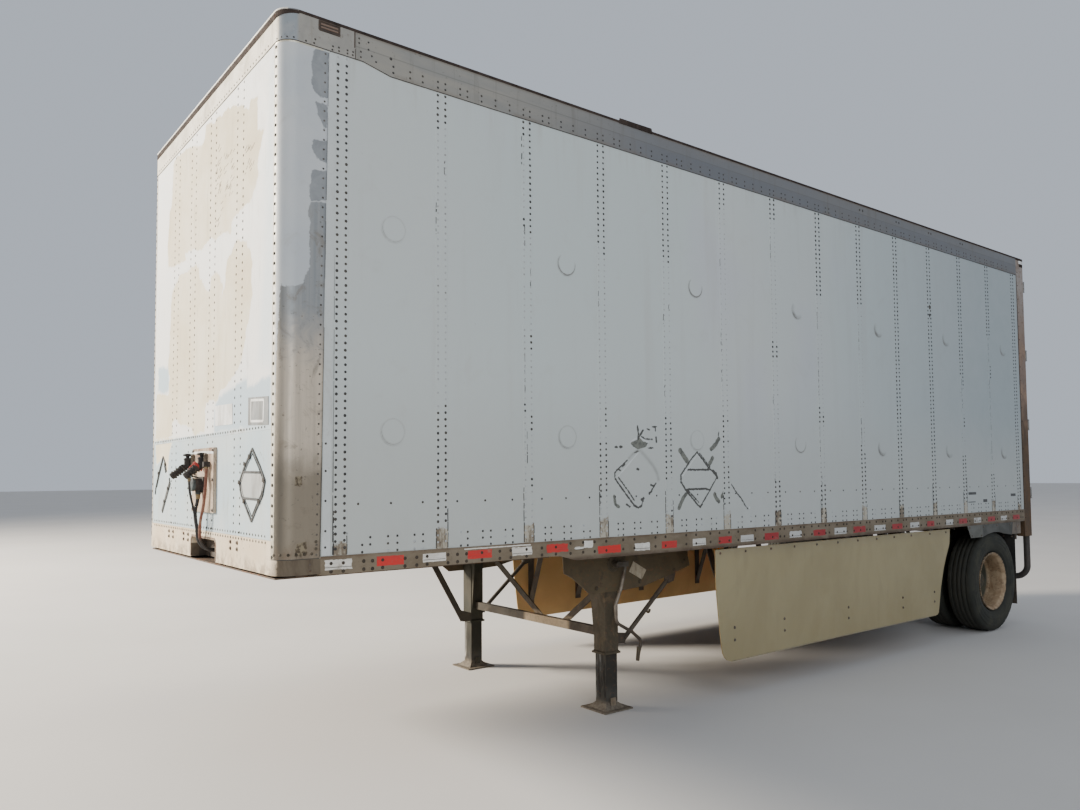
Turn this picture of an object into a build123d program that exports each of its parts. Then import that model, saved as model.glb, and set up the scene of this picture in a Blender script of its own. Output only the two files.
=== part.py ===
from build123d import *
import math
import os

# Semi trailer: a 28 ft single-axle dry van body on twin wheels, parked on its landing legs.
# Frame: +X to the nose, +Y to the left (road) side, +Z up, millimetres.
# Origin: middle of the whole trailer's box, at ground level.

# ---------------------------------------------------------------- driving sizes
BODY_LENGTH = 8535.0        # nose face to rear face, 28 ft
BODY_WIDTH = 2591.0         # over the rails, 102 in
X_NOSE = 4245.0             # front face of the rails
X_REAR = X_NOSE - BODY_LENGTH
HALF = BODY_WIDTH / 2
SHEET = HALF - 3.0          # outer face of the side sheets
WALL = 40.0                 # whole wall: sheet, posts and lining
SKIN = 3.0                  # rails stand this much proud of the sheets

Z_SILL_BOTTOM = 1158.0
Z_SILL_TOP = 1330.0
Z_FLOOR = 1245.0            # top of the deck and of the bottom rails
DECK = 30.0
Z_RAIL_LOW_FRONT = 1150.0   # lower edge of the bottom rail over the coupler
Z_RAIL_LOW = 1115.0         # lower edge behind the step
Z_WALL_TOP = 3852.0         # lower edge of the side top rail
Z_CAP_LOW = 3888.0          # lower edge of the front top rail
Z_RAIL_TOP = 4054.0
Z_ROOF = 4060.0

CORNER_RADIUS = 90.0
CORNER_FRONT = 1206.0       # corner sheet reaches in to this |y| on the nose
CORNER_BACK = 224.0         # and back this far on the sides
CAP_BACK = 400.0            # front top rail's arms reach back this far
POST_PITCH = 609.6          # side posts, 24 in
FIRST_POST = 345.0          # first post behind the nose face
POST_COUNT = 14

COUPLER_LENGTH = 1750.0
KINGPIN_SETBACK = 914.0     # 36 in
KINGPIN_NECK = 50.8
KINGPIN_HEAD = 71.4
Z_COUPLER = 1138.0          # underside of the upper coupler plate

LEG_SETBACK = 2548.0        # landing legs behind the nose
LEG_Y = 866.0
AXLE_SETBACK = 7634.0       # axle behind the nose
TYRE_R = 516.0
TYRE_W = 272.0
TYRE_OUTER_Y = 1150.0
TYRE_INNER_Y = 820.0

POST_DEPTH = 170.0          # rear frame, front to back
POST_FACE = 80.0            # rear frame, side to side
Z_REAR_LOW = 947.0          # bottom of the rear frame
Z_HEADER = 3920.0
DOOR_THICK = 45.0
PIN_BACK = 32.0             # door pins behind the rear face
PIN_Y = 1285.0


def X(d):
    """Distance behind the nose face to x."""
    return X_NOSE - d


# ---------------------------------------------------------------- small shape helpers
def box(x0, x1, y0, y1, z0, z1):
    return Pos((x0 + x1) / 2, (y0 + y1) / 2, (z0 + z1) / 2) * Box(abs(x1 - x0), abs(y1 - y0), abs(z1 - z0))


def plate_xz(points, y0, y1):
    """Flat outline in X and Z, thick from y0 to y1."""
    face = make_face(Plane.XZ * Polyline(*[(p[0], p[1]) for p in points], close=True))
    return Pos(0, max(y0, y1), 0) * extrude(face, abs(y1 - y0), dir=(0, -1, 0))


def plate_yz(points, x0, x1):
    """Flat outline in Y and Z, thick from x0 to x1."""
    face = make_face(Plane.YZ * Polyline(*[(p[0], p[1]) for p in points], close=True))
    return Pos(min(x0, x1), 0, 0) * extrude(face, abs(x1 - x0), dir=(1, 0, 0))


def plate_xy(points, z0, z1):
    face = make_face(Polyline(*[(p[0], p[1]) for p in points], close=True))
    return Pos(0, 0, z0) * extrude(face, z1 - z0, dir=(0, 0, 1))


def rod_x(x0, x1, y, z, r):
    return Pos((x0 + x1) / 2, y, z) * Rot(0, 90, 0) * Cylinder(r, abs(x1 - x0))


def rod_y(x, y0, y1, z, r):
    return Pos(x, (y0 + y1) / 2, z) * Rot(90, 0, 0) * Cylinder(r, abs(y1 - y0))


def rod_z(x, y, z0, z1, r):
    return Pos(x, y, (z0 + z1) / 2) * Cylinder(r, abs(z1 - z0))


def bar(a, b, r):
    """Round bar from a to b."""
    a, b = Vector(*a), Vector(*b)
    return Plane(origin=(a + b) * 0.5, z_dir=(b - a)) * Cylinder(r, (b - a).length)


def flat_bar(a, b, width, thick, x_dir):
    """Flat bar from a to b, its width along x_dir."""
    a, b = Vector(*a), Vector(*b)
    return Plane(origin=(a + b) * 0.5, x_dir=x_dir, z_dir=(b - a)) * Box(width, thick, (b - a).length)


def mirror_y(shape):
    return mirror(shape, about=Plane.XZ)


def both(shape):
    return [shape, mirror_y(shape)]


def spin(points, x, z):
    """Ring about the axle line from (y, radius) points."""
    face = make_face(Polyline(*[(p[0], p[1]) for p in points], close=True))
    ring = revolve(face, Axis((0, 0, 0), (1, 0, 0)), 360)
    return Pos(x, 0, z) * Rot(0, 0, 90) * ring


def hose(points, diameter):
    """Round hose along straight runs joined by tangent arcs."""
    pts = [Vector(*p) for p in points]
    radii = []
    for a, b, c in zip(pts, pts[1:], pts[2:]):
        turn = math.radians((b - a).get_angle(c - b))
        radii.append(0.45 * min((b - a).length, (c - b).length) / math.tan(turn / 2))
    path = FilletPolyline(*points, radius=radii)
    start = Plane(origin=pts[0], z_dir=(pts[1] - pts[0]))
    solid = sweep(start * Circle(diameter / 2), path=path)
    true = math.pi * diameter ** 2 / 4 * path.length
    print("hose", diameter, "length", round(path.length, 1), "radii", [round(r) for r in radii],
          "volume ratio", round(solid.volume / true, 4))
    return solid


parts = {}


def add(name, *shapes):
    flat = []
    for s in shapes:
        flat.extend(s if isinstance(s, (list, tuple)) else [s])
    solids = []
    for s in flat:
        solids.extend(s.solids())
    parts[name] = Compound(children=solids) if len(solids) > 1 else solids[0]


# ---------------------------------------------------------------- nose and walls
add("front_wall", box(X_NOSE - SKIN - WALL, X_NOSE - SKIN, -CORNER_FRONT, CORNER_FRONT, Z_SILL_TOP, Z_CAP_LOW))


def nose_ring(back, outer_y, face, thick, z0, z1):
    """U-shaped ring round the nose with rounded outer corners."""
    outer = box(X(back), face, -outer_y, outer_y, z0, z1)
    outer = fillet(outer.edges().filter_by(Axis.Z).group_by(Axis.X)[-1], CORNER_RADIUS)
    inner = box(X(back) - 1, face - thick, -outer_y + thick, outer_y - thick, z0 - 1, z1 + 1)
    inner = fillet(inner.edges().filter_by(Axis.Z).group_by(Axis.X)[-1], CORNER_RADIUS - thick)
    return outer - inner


corner = nose_ring(CORNER_BACK, SHEET + 1.5, X_NOSE - 1.5, WALL + 1.5, Z_SILL_BOTTOM + 78, Z_CAP_LOW)
corner = corner - box(X(CORNER_BACK) - 10, X_NOSE + 10, -CORNER_FRONT, CORNER_FRONT, 0, 5000)
add("front_corner_posts", corner)

cap = nose_ring(CAP_BACK, HALF, X_NOSE, WALL + SKIN, Z_CAP_LOW, Z_RAIL_TOP)
add("front_top_rail", cap)

POCKET_Y0, POCKET_Y1, POCKET_TOP = -200.0, 300.0, 1285.0
sill = nose_ring(CORNER_BACK, HALF, X_NOSE, 50.0, Z_SILL_BOTTOM, Z_SILL_BOTTOM + 78)
sill = sill + box(X_NOSE - 50, X_NOSE, -CORNER_FRONT, CORNER_FRONT, Z_SILL_BOTTOM + 70, Z_SILL_TOP)
sill = sill - box(X_NOSE - 60, X_NOSE + 10, POCKET_Y0, POCKET_Y1, Z_SILL_BOTTOM - 10, POCKET_TOP)
add("front_sill", sill)
POCKET_BACK = 94.0
pocket = (box(X(POCKET_BACK + 6), X(POCKET_BACK), POCKET_Y0 - 6, POCKET_Y1 + 6, Z_SILL_BOTTOM, POCKET_TOP + 6)
          + box(X(POCKET_BACK), X(50), POCKET_Y0 - 6, POCKET_Y1 + 6, POCKET_TOP, POCKET_TOP + 6)
          + box(X(POCKET_BACK), X(50), POCKET_Y0 - 6, POCKET_Y0, Z_SILL_BOTTOM, POCKET_TOP)
          + box(X(POCKET_BACK), X(50), POCKET_Y1, POCKET_Y1 + 6, Z_SILL_BOTTOM, POCKET_TOP))
add("hose_pocket", pocket)

wall_outline = [
    (X(CORNER_BACK), Z_FLOOR), (X(BODY_LENGTH - POST_DEPTH), Z_FLOOR), (X(BODY_LENGTH - POST_DEPTH), Z_WALL_TOP),
    (X(615), Z_WALL_TOP), (X(447), Z_CAP_LOW), (X(CORNER_BACK), Z_CAP_LOW),
]
left_wall = plate_xz(wall_outline, SHEET - WALL, SHEET)
add("left_side_wall", left_wall)
add("right_side_wall", mirror_y(left_wall))

rail_web = plate_xz([
    (X(CAP_BACK), Z_CAP_LOW), (X(447), Z_CAP_LOW), (X(615), Z_WALL_TOP),
    (X(BODY_LENGTH - POST_DEPTH), Z_WALL_TOP), (X(BODY_LENGTH - POST_DEPTH), Z_RAIL_TOP), (X(CAP_BACK), Z_RAIL_TOP),
], HALF - 12, HALF)
rail_shelf = box(X(CAP_BACK), X(BODY_LENGTH - POST_DEPTH), SHEET - WALL, HALF - 6, Z_RAIL_TOP - 60, Z_RAIL_TOP)
add("side_top_rails", both(rail_web + rail_shelf))

# bottom rails: outer web with the step behind the coupler, ledge under the wall, lip at the foot
step = [(1750, 1150), (1800, 1146), (1850, 1133), (1900, 1119), (1922, Z_RAIL_LOW)]
web = [(X(CORNER_BACK), Z_FLOOR), (X(CORNER_BACK), Z_RAIL_LOW_FRONT)]
web += [(X(d), z) for d, z in step]
web += [(X(BODY_LENGTH - POST_DEPTH), Z_RAIL_LOW), (X(BODY_LENGTH - POST_DEPTH), Z_FLOOR)]
ledge = box(X(CORNER_BACK), X(BODY_LENGTH - POST_DEPTH), 1240, HALF - 4, Z_FLOOR - DECK, Z_FLOOR)
lip_front = box(X(CORNER_BACK), X(1750), 1240, HALF - 4, Z_RAIL_LOW_FRONT, Z_RAIL_LOW_FRONT + 6)
lip_rear = box(X(1930), X(BODY_LENGTH - POST_DEPTH), 1240, HALF - 4, Z_RAIL_LOW, Z_RAIL_LOW + 6)
add("side_bottom_rails", both(plate_xz(web, HALF - 8, HALF) + ledge + lip_front + lip_rear))

roof = box(X_REAR + 6, X_NOSE - 14, -HALF + 8, HALF - 8, Z_RAIL_TOP, Z_ROOF)
add("roof_panel", fillet(roof.edges().filter_by(Axis.Z).group_by(Axis.X)[-1], CORNER_RADIUS - 8))
bows = []
for i in range(1, POST_COUNT - 1):
    xb = X(FIRST_POST + POST_PITCH * i)
    bows.append(box(xb - 30, xb + 30, -(SHEET - WALL), SHEET - WALL, Z_RAIL_TOP - 28, Z_RAIL_TOP))
add("roof_bows", bows)

# ---------------------------------------------------------------- floor and coupler
deck = box(X(BODY_LENGTH - POST_DEPTH), X(105), -1240, 1240, Z_FLOOR - DECK, Z_FLOOR)
add("floor_deck", deck)

BEAM_PITCH = 304.8
beams = []
for i in range(27):
    d = 150 + BEAM_PITCH * i
    front = d < 1850
    z0 = Z_COUPLER + 8 if front else Z_RAIL_LOW + 6
    half = 1240 if front else HALF - 8
    z1 = Z_FLOOR - DECK
    x = X(d)
    beams.append(box(x - 3, x + 3, -half, half, z0, z1)
                 + box(x - 30, x + 30, -half, half, z0, z0 + 5)
                 + box(x - 30, x + 30, -half, half, z1 - 5, z1))
add("floor_crossmembers", beams)

kx = X(KINGPIN_SETBACK)
coupler = box(X(COUPLER_LENGTH), X(12), -1232, 1232, Z_COUPLER, Z_COUPLER + 8) - rod_z(kx, 0, Z_COUPLER - 5, Z_COUPLER + 20, 61)
add("upper_coupler", coupler)

pin = (rod_z(kx, 0, Z_COUPLER + 8, Z_COUPLER + 22, 100)
       + rod_z(kx, 0, Z_COUPLER - 13, Z_COUPLER + 8, 60)
       + rod_z(kx, 0, Z_COUPLER - 13 - 35, Z_COUPLER - 13, KINGPIN_NECK / 2)
       + rod_z(kx, 0, Z_COUPLER - 84, Z_COUPLER - 48, KINGPIN_HEAD / 2))
add("kingpin", pin)

# ---------------------------------------------------------------- landing legs
lx = X(LEG_SETBACK)
Z_UNDER = Z_RAIL_LOW + 6     # underside of the crossmembers behind the coupler
OUTER_TUBE, INNER_TUBE = 61.0, 54.0     # half widths of the leg's two tubes
housing = (box(lx - OUTER_TUBE, lx + OUTER_TUBE, LEG_Y - OUTER_TUBE, LEG_Y + OUTER_TUBE, 402, Z_UNDER)
           + box(lx - 72, lx + 72, LEG_Y - 72, LEG_Y + 72, 388, 402))
add("landing_leg_housings", both(housing))

foot = (box(lx - INNER_TUBE, lx + INNER_TUBE, LEG_Y - INNER_TUBE, LEG_Y + INNER_TUBE, 46, 388)
        + box(lx - 132, lx + 132, LEG_Y - 132, LEG_Y + 132, 0, 10)
        + loft([Pos(lx, LEG_Y, 10) * Rectangle(190, 190), Pos(lx, LEG_Y, 46) * Rectangle(112, 112)]))
add("landing_leg_feet", both(foot))

# wing plates: one on the outer face of each leg, hung under the floor (distance behind the nose, z)
LEG_OUT = LEG_Y + OUTER_TUBE
SHAFT_D, SHAFT_Z = 2558.0, 1019.0
wing = plate_xz([(X(d), z) for d, z in (
    (2100, Z_UNDER), (2110, 985), (2186, 947), (2340, 826), (2666, 826), (2858, 838), (3140, 899), (3352, 956),
    (3333, 1045), (3333, Z_UNDER))], LEG_OUT, LEG_OUT + 10)
wing = wing - rod_y(X(SHAFT_D), LEG_OUT - 1, LEG_OUT + 11, SHAFT_Z, 56)
wing_foot = box(X(3333), X(2100), LEG_OUT - 50, LEG_OUT, Z_UNDER - 8, Z_UNDER)
wing_foot = wing_foot - box(lx - OUTER_TUBE, lx + OUTER_TUBE, LEG_Y - 100, LEG_OUT + 1, 1000, 1200)
add("landing_leg_brackets", both(wing + wing_foot))

# bracing between the legs: level bar, two diagonals that meet it off centre, one gusset on the left leg
LEG_IN = LEG_Y - OUTER_TUBE
crossbar = box(lx - 20, lx + 20, -LEG_IN, LEG_IN, 500, 562)
far_diagonal = plate_yz([(-LEG_IN, 1121), (-LEG_IN, 1062), (60, 530), (150, 530)], lx - 30, lx - 20)
near_diagonal = plate_yz([(LEG_IN, 880), (LEG_IN, 822), (395, 530), (310, 530)], lx - 30, lx - 20)
gusset = plate_yz([(LEG_IN, Z_UNDER), (575, Z_UNDER), (587, 921), (694, 806), (766, 677), (LEG_IN, 575)], lx - 4, lx + 6)
rear_brace = bar((X(3161), LEG_OUT - 24, 875), (X(2690), LEG_OUT - 24, 478), 17)
rear_lug = plate_xz([(lx - OUTER_TUBE, 527), (X(2718), 512), (X(2692), 441), (lx - OUTER_TUBE, 450)], LEG_OUT - 30, LEG_OUT - 20)
brace_top = plate_xz([(X(3120), 905), (X(3215), 925), (X(3185), 850), (X(3125), 835)], LEG_OUT - 42, LEG_OUT)
front_brace = flat_bar((X(1990), -LEG_IN + 6, 1121), (X(2400), -LEG_IN + 6, 420), 50, 8, (1, 0, 0.6))
front_brace = front_brace - box(X(2500), X(1900), -900, -700, Z_UNDER, 1300)
front_lug = plate_xz([(X(2330), 520), (lx + OUTER_TUBE, 470), (lx + OUTER_TUBE, 405), (X(2400), 405)], -LEG_IN - 8, -LEG_IN + 10)
add("landing_leg_braces", crossbar + far_diagonal + near_diagonal, gusset, both(rear_brace + rear_lug + brace_top),
    front_brace + front_lug)

add("landing_cross_shaft", rod_y(X(2602), -LEG_IN, LEG_IN, 1075, 14))

CRANK_Y = LEG_OUT + 55
crank_pts = [(X(2640), CRANK_Y, 1019), (X(2592), CRANK_Y, 852), (X(2535), CRANK_Y, 735), (X(2545), CRANK_Y, 612),
             (X(2690), CRANK_Y, 535), (X(2783), CRANK_Y, 462), (X(2743), CRANK_Y, 330)]
crank_way = FilletPolyline(*crank_pts, radius=[90, 60, 60, 60, 45])
crank = sweep(Plane(origin=crank_pts[0], z_dir=crank_way % 0) * Circle(12), path=crank_way)
crank = crank + rod_y(X(SHAFT_D), LEG_OUT, CRANK_Y + 14, SHAFT_Z, 20) + box(
    X(2655), X(SHAFT_D), CRANK_Y - 14, CRANK_Y + 14, SHAFT_Z - 18, SHAFT_Z + 18)
add("landing_crank_handle", crank)

# ---------------------------------------------------------------- side skirts
SKIRT_Y = 1272.0
SKIRT_OUTLINE = (           # (distance behind the nose, z), from the front upper corner down and round
    (3265, 1098), (3265, 900), (3271, 780), (3286, 640), (3303, 500), (3318, 385), (3330, 337), (3348, 308), (3378, 284),
    (3426, 268), (4928, 282), (6405, 288), (6450, 294), (6474, 313), (6490, 370), (6529, 540), (6586, 704), (6646, 828),
    (6700, 915), (6723, 960), (6740, 1098))
skirt = plate_xz([(X(d), z) for d, z in SKIRT_OUTLINE], SKIRT_Y - 8, SKIRT_Y)
add("left_side_skirt", skirt)
add("right_side_skirt", mirror_y(skirt))
struts = []
for d in (3480, 4080, 4980, 5880, 6400):
    s = (box(X(d) - 32, X(d) + 32, SKIRT_Y - 18, SKIRT_Y - 8, 400, Z_RAIL_LOW)
         + flat_bar((X(d), SKIRT_Y - 16, 440), (X(d), 1010, Z_UNDER - 6), 60, 8, (1, 0, 0))
         + box(X(d) - 30, X(d) + 30, 980, 1050, Z_UNDER - 10, Z_UNDER))
    struts.append(s)
add("skirt_struts", struts, [mirror_y(s) for s in struts])

# ---------------------------------------------------------------- suspension and axle
ax = X(AXLE_SETBACK)
SPRING_Y = 500.0
sub = []
for s in (1, -1):
    y = s * SPRING_Y
    rail = box(X(BODY_LENGTH - POST_DEPTH), X(6800), y - 40, y + 40, 1021, Z_UNDER)
    for dx in (540, -540):
        rail = rail + box(ax + dx - 70, ax + dx + 70, y - 50, y - 40, 760, 1060)
        rail = rail + box(ax + dx - 70, ax + dx + 70, y + 40, y + 50, 760, 1060)
        rail = rail + box(ax + dx - 50, ax + dx + 50, y - 50, y + 50, 900, 1030)
    sub.append(rail)
add("suspension_frame", sub)

springs = []
for s in (1, -1):
    y = s * SPRING_Y
    pack = plate_xz([
        (ax - 600, 868), (ax - 600, 842), (ax - 420, 772), (ax - 220, 700), (ax - 70, 655), (ax + 70, 655),
        (ax + 220, 700), (ax + 420, 772), (ax + 600, 842), (ax + 600, 868), (ax + 420, 812), (ax + 220, 762),
        (ax, 735), (ax - 220, 762), (ax - 420, 812)], y - 37, y + 37)
    seat = box(ax - 80, ax + 80, y - 37, y + 37, 579, 655)
    springs.append(pack + seat)
seat_cut = rod_y(ax, -700, 700, TYRE_R, 63.5)
springs = [s - seat_cut for s in springs]
add("leaf_springs", springs)

beam = rod_y(ax, -690, 690, TYRE_R, 63.5) + rod_y(ax, -985, 985, TYRE_R, 36)
for s in (1, -1):
    beam = beam + rod_y(ax, s * 655, s * 668, TYRE_R, 150)
add("axle_beam", beam)

chambers = []
for s in (1, -1):
    y = s * 330
    c = rod_x(ax - 330, ax - 180, y, 610, 80) + rod_x(ax - 180, ax - 60, y, 610, 14)
    c = c + box(ax - 190, ax - 40, y - 50, y - 40, 560, 660) + box(ax - 75, ax - 50, y - 50, y + 20, 530, 660)
    c = c - seat_cut
    chambers.append(c)
add("brake_chambers", chambers)

tank = rod_y(X(6500), -430, 430, 960, 120)
straps = [box(X(6500) - 20, X(6500) + 20, y - 20, y + 20, 1075, Z_UNDER) for y in (-280, 280)]
add("air_tank", tank + straps[0] + straps[1])

# ---------------------------------------------------------------- hubs, rims and tyres
def place_ring(points):
    return spin(points, ax, TYRE_R)


hub = place_ring([(690, 208), (690, 190), (880, 190), (880, 60), (890, 60), (890, 44), (1000, 44), (1000, 0),
                  (1140, 0), (1140, 70), (1125, 88), (996, 105), (974, 105), (974, 160), (905, 160), (895, 208)])


# one wheel: rim barrel from flange to flange, its disc dished in to the hub face (y, radius)
WHEEL = [
    (1268, 298), (1268, 288), (1258, 280), (1238, 268), (1190, 262), (1110, 262), (1090, 255), (1060, 232),
    (1020, 190), (996, 165), (996, 110), (985, 110), (985, 172), (1010, 206), (1048, 250), (1046, 262), (1062, 280),
    (1032, 288), (1032, 298), (1045, 298), (1052, 289), (1090, 283), (1110, 272), (1190, 272), (1215, 286),
    (1248, 289), (1255, 298),
]
HUB_FACE_Y = TYRE_OUTER_Y - (TYRE_OUTER_Y - TYRE_INNER_Y) / 2    # the two discs of a pair meet here


holes = None
for k in range(5):
    a = math.radians(72 * k + 36)
    h = rod_y(ax + 205 * math.cos(a), 900, 1080, TYRE_R + 205 * math.sin(a), 30)
    holes = h if holes is None else holes + h
rims = (place_ring(WHEEL) + place_ring([(2 * HUB_FACE_Y - y, r) for y, r in WHEEL])) - holes


def tyre(centre):
    half = TYRE_W / 2
    pts = [
        (-96, 291), (-97, 301), (-124, 330), (-135, 372), (-136, 410), (-131, 450), (-124, 480), (-116, 500), (-104, 510),
        (-60, 514.5), (0, TYRE_R), (60, 514.5), (104, 510), (116, 500), (124, 480), (131, 450), (136, 410), (135, 372),
        (124, 330), (97, 301), (96, 291),
    ]
    return place_ring([(centre + y, r) for y, r in pts])


add("left_hub", hub)
add("right_hub", mirror_y(hub))
add("left_rims", rims)
add("right_rims", mirror_y(rims))
for side, flip in (("left", False), ("right", True)):
    for name, centre in (("outer", TYRE_OUTER_Y), ("inner", TYRE_INNER_Y)):
        t = tyre(centre)
        add(side + "_" + name + "_tyre", mirror_y(t) if flip else t)

# ---------------------------------------------------------------- rear frame and doors
post = box(X_REAR, X_REAR + POST_DEPTH, HALF - POST_FACE, HALF, Z_REAR_LOW, Z_RAIL_TOP)
add("rear_posts", both(post))
inner_y = HALF - POST_FACE
header = (box(X_REAR, X_REAR + 8, -inner_y, inner_y, Z_HEADER, Z_RAIL_TOP)
          + box(X_REAR, X_REAR + POST_DEPTH, -inner_y, inner_y, Z_HEADER, Z_HEADER + 8)
          + box(X_REAR, X_REAR + POST_DEPTH, -inner_y, inner_y, Z_RAIL_TOP - 8, Z_RAIL_TOP))
add("rear_header", header)
rsill = (box(X_REAR, X_REAR + 10, -inner_y, inner_y, Z_REAR_LOW, Z_FLOOR)
         + box(X_REAR, X_REAR + POST_DEPTH, -inner_y, inner_y, Z_FLOOR - 10, Z_FLOOR)
         + box(X_REAR, X_REAR + 110, -inner_y, inner_y, Z_REAR_LOW, Z_REAR_LOW + 10))
add("rear_sill", rsill)

DOOR_GAP = 6.0
door = box(X_REAR, X_REAR + DOOR_THICK, 4, inner_y - DOOR_GAP, Z_FLOOR + 8, Z_HEADER - 8)
add("left_rear_door", door)
add("right_rear_door", mirror_y(door))

px = X_REAR - PIN_BACK
HINGE_Z = (1420.0, 2180.0, 2960.0, 3740.0)
straps, brackets = [], []
for z in HINGE_Z:
    strap = (box(X_REAR - 14, X_REAR - 6, 1080, PIN_Y, z - 35, z + 35)
             + box(X_REAR - 7, X_REAR, 1080, inner_y - DOOR_GAP - 4, z - 35, z + 35)
             + box(px, X_REAR - 6, PIN_Y - 6, PIN_Y + 6, z - 35, z + 35)
             + rod_z(px, PIN_Y, z - 40, z + 40, 11)) - rod_z(px, PIN_Y, z - 60, z + 60, 8)
    straps.append(strap)
    fixed = rod_z(px, PIN_Y, z - 59, z + 59, 7)
    for a, b in ((z + 46, z + 58), (z - 58, z - 46)):
        fixed = fixed + box(px - 10, X_REAR, PIN_Y - 20, PIN_Y + 9, a, b)
    brackets.append(fixed)
add("door_hinge_brackets", brackets, [mirror_y(b) for b in brackets])

ROD_Y = (300.0, 960.0)
rods, keepers = [], []
for y in ROD_Y:
    r = rod_z(X_REAR - 34, y, 1150, 4010, 13)
    for z in (1300, 1900, 2600, 3300, 3860):
        r = r + box(X_REAR - 50, X_REAR, y - 22, y + 22, z - 25, z + 25)
    for z in (1150, 3985):
        r = r + box(X_REAR - 46, X_REAR - 14, y - 13, y + 13, z, z + 25)
    rods.append(r)
    for z0, z1 in ((1125, 1200), (3960, 4035)):
        keepers.append(box(X_REAR - 8, X_REAR, y - 45, y + 45, z0, z1)
                       + box(X_REAR - 40, X_REAR, y - 45, y - 37, z0, z1)
                       + box(X_REAR - 40, X_REAR, y + 37, y + 45, z0, z1))
handle = box(X_REAR - 58, X_REAR - 46, 300, 640, 1985, 2015) + box(X_REAR - 58, X_REAR - 30, 290, 312, 1985, 2015)
rest = box(X_REAR - 44, X_REAR, 585, 625, 1975, 2025)
left_hw = straps + [rods[0] + handle, rods[1], rest]
add("left_door_hardware", left_hw)
add("right_door_hardware", [mirror_y(s) for s in left_hw])
add("door_keepers", keepers, [mirror_y(k) for k in keepers])

# ---------------------------------------------------------------- rear guard, flaps, splash shields
GUARD_Y = 1255.0
guard_pts = [(X_REAR + 45, GUARD_Y, Z_REAR_LOW), (X_REAR + 45, GUARD_Y, 492), (X_REAR + 45, -GUARD_Y, 492),
             (X_REAR + 45, -GUARD_Y, Z_REAR_LOW)]
guard = sweep(Plane(origin=guard_pts[0], z_dir=(0, 0, -1)) * Circle(33),
              path=FilletPolyline(*guard_pts, radius=[130, 130]))
for y in (450, -450):
    guard = guard + box(X_REAR + 20, X_REAR + 70, y - 35, y + 35, 492, Z_REAR_LOW)
add("rear_impact_guard", guard)

FLAP_X = X(8175)
flap = box(FLAP_X, FLAP_X + 10, 670, 1268, 230, 985)
add("mud_flaps", both(flap))
hanger = (box(FLAP_X - 12, FLAP_X, 560, 1282, 925, 985) + box(FLAP_X - 12, FLAP_X + 40, 560, 610, 985, Z_UNDER)
          + box(X(8290), X(8080), 1180, 1282, 985, Z_RAIL_LOW))
add("flap_hangers", both(hanger))

shield = plate_xz([(X(d), z) for d, z in (
    (7055, Z_RAIL_LOW), (7127, 990), (7374, 989), (7500, 1015), (7620, 1028), (7740, 1024), (7842, 1005), (8041, 982),
    (8078, Z_RAIL_LOW))], 1289.5, 1294.5)
add("splash_shields", both(shield))

# ---------------------------------------------------------------- nose connections and hoses
PANEL_Y0, PANEL_Y1 = -140.0, 300.0
panel = box(X_NOSE - SKIN, X_NOSE + 14, PANEL_Y0, PANEL_Y1, 1444, 1830)
add("nose_connection_panel", panel)


HEAD_RUN, HEAD_DROP = 84.0, 62.0     # each coupling head droops forward from its elbow


def gladhand(ahead, y):
    """Elbow on the plate with a capped top, and the coupling head that droops from it."""
    stem = rod_x(X_NOSE + 14, X_NOSE + ahead, y, 1746, 12)
    flange = box(X_NOSE + 14, X_NOSE + 22, y - 26, y + 26, 1720, 1772)
    elbow = rod_z(X_NOSE + ahead, y, 1716, 1768, 21) + rod_z(X_NOSE + ahead, y, 1768, 1786, 11) + rod_z(X_NOSE + ahead, y, 1786, 1799, 18)
    start = (X_NOSE + ahead + 8, y, 1723)
    end = (start[0] + HEAD_RUN, y, start[2] - HEAD_DROP)
    lip = (end[0] - HEAD_RUN * 0.14, y, end[2] + HEAD_DROP * 0.14)
    head = bar(start, end, 18) + bar(lip, end, 21)
    return stem + flange + elbow + head


elbow = box(X_NOSE + 14, X_NOSE + 50, 196, 226, 1716, 1746)
tail = rod_z(X_NOSE + 106, 130, 1640, 1665, 9)
add("gladhands", gladhand(44, -140), gladhand(36, 130) + tail, elbow)
socket_body = (rod_x(X_NOSE + 14, X_NOSE + 68, 70, 1610, 38) + box(X_NOSE + 14, X_NOSE + 22, 22, 118, 1562, 1658)
               + rod_z(X_NOSE + 38, 70, 1552, 1590, 15))
add("electrical_socket", socket_body)

# each hose leaves its fitting, hangs down the nose and turns back into the pocket (ahead of the nose, y, z)
HOSES = (  # name, diameter, hanging part, then (ahead, y) where it turns into the pocket
    ("thin_black_hose", 14.0, ((106, 130, 1640), (106, 130, 1598), (92, 121, 1530), (69, 109, 1450), (52, 101, 1360)), (46, 98)),
    ("thick_black_cable", 22.0, ((38, 70, 1552), (38, 70, 1512), (54, 71, 1456), (50, 69, 1400), (38, 66, 1340)), (36, 64)),
    ("brown_hose", 18.0, ((32, 211, 1716), (32, 211, 1640), (37, 206, 1560), (40, 196, 1480), (50, 172, 1405), (46, 148, 1340)),
     (43, 137)),
)
for name, dia, route, (ahead, y) in HOSES:
    turn = ((ahead, y, 1283), (ahead - 27, y - 1, 1237), (ahead - 73, y - 2, 1210), (-POCKET_BACK, y - 2, 1210))
    add(name, hose([(X_NOSE + p, yy, z) for p, yy, z in route + turn], dia))

os.makedirs("parts", exist_ok=True)
for name, shape in parts.items():
    export_step(shape, "parts/" + name + ".step")
print(len(parts), "nodes written")
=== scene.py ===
"""Looks of the dry van semi trailer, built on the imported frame."""
import math
import random

import bpy
import numpy as np
from mathutils import Matrix, Vector


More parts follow.
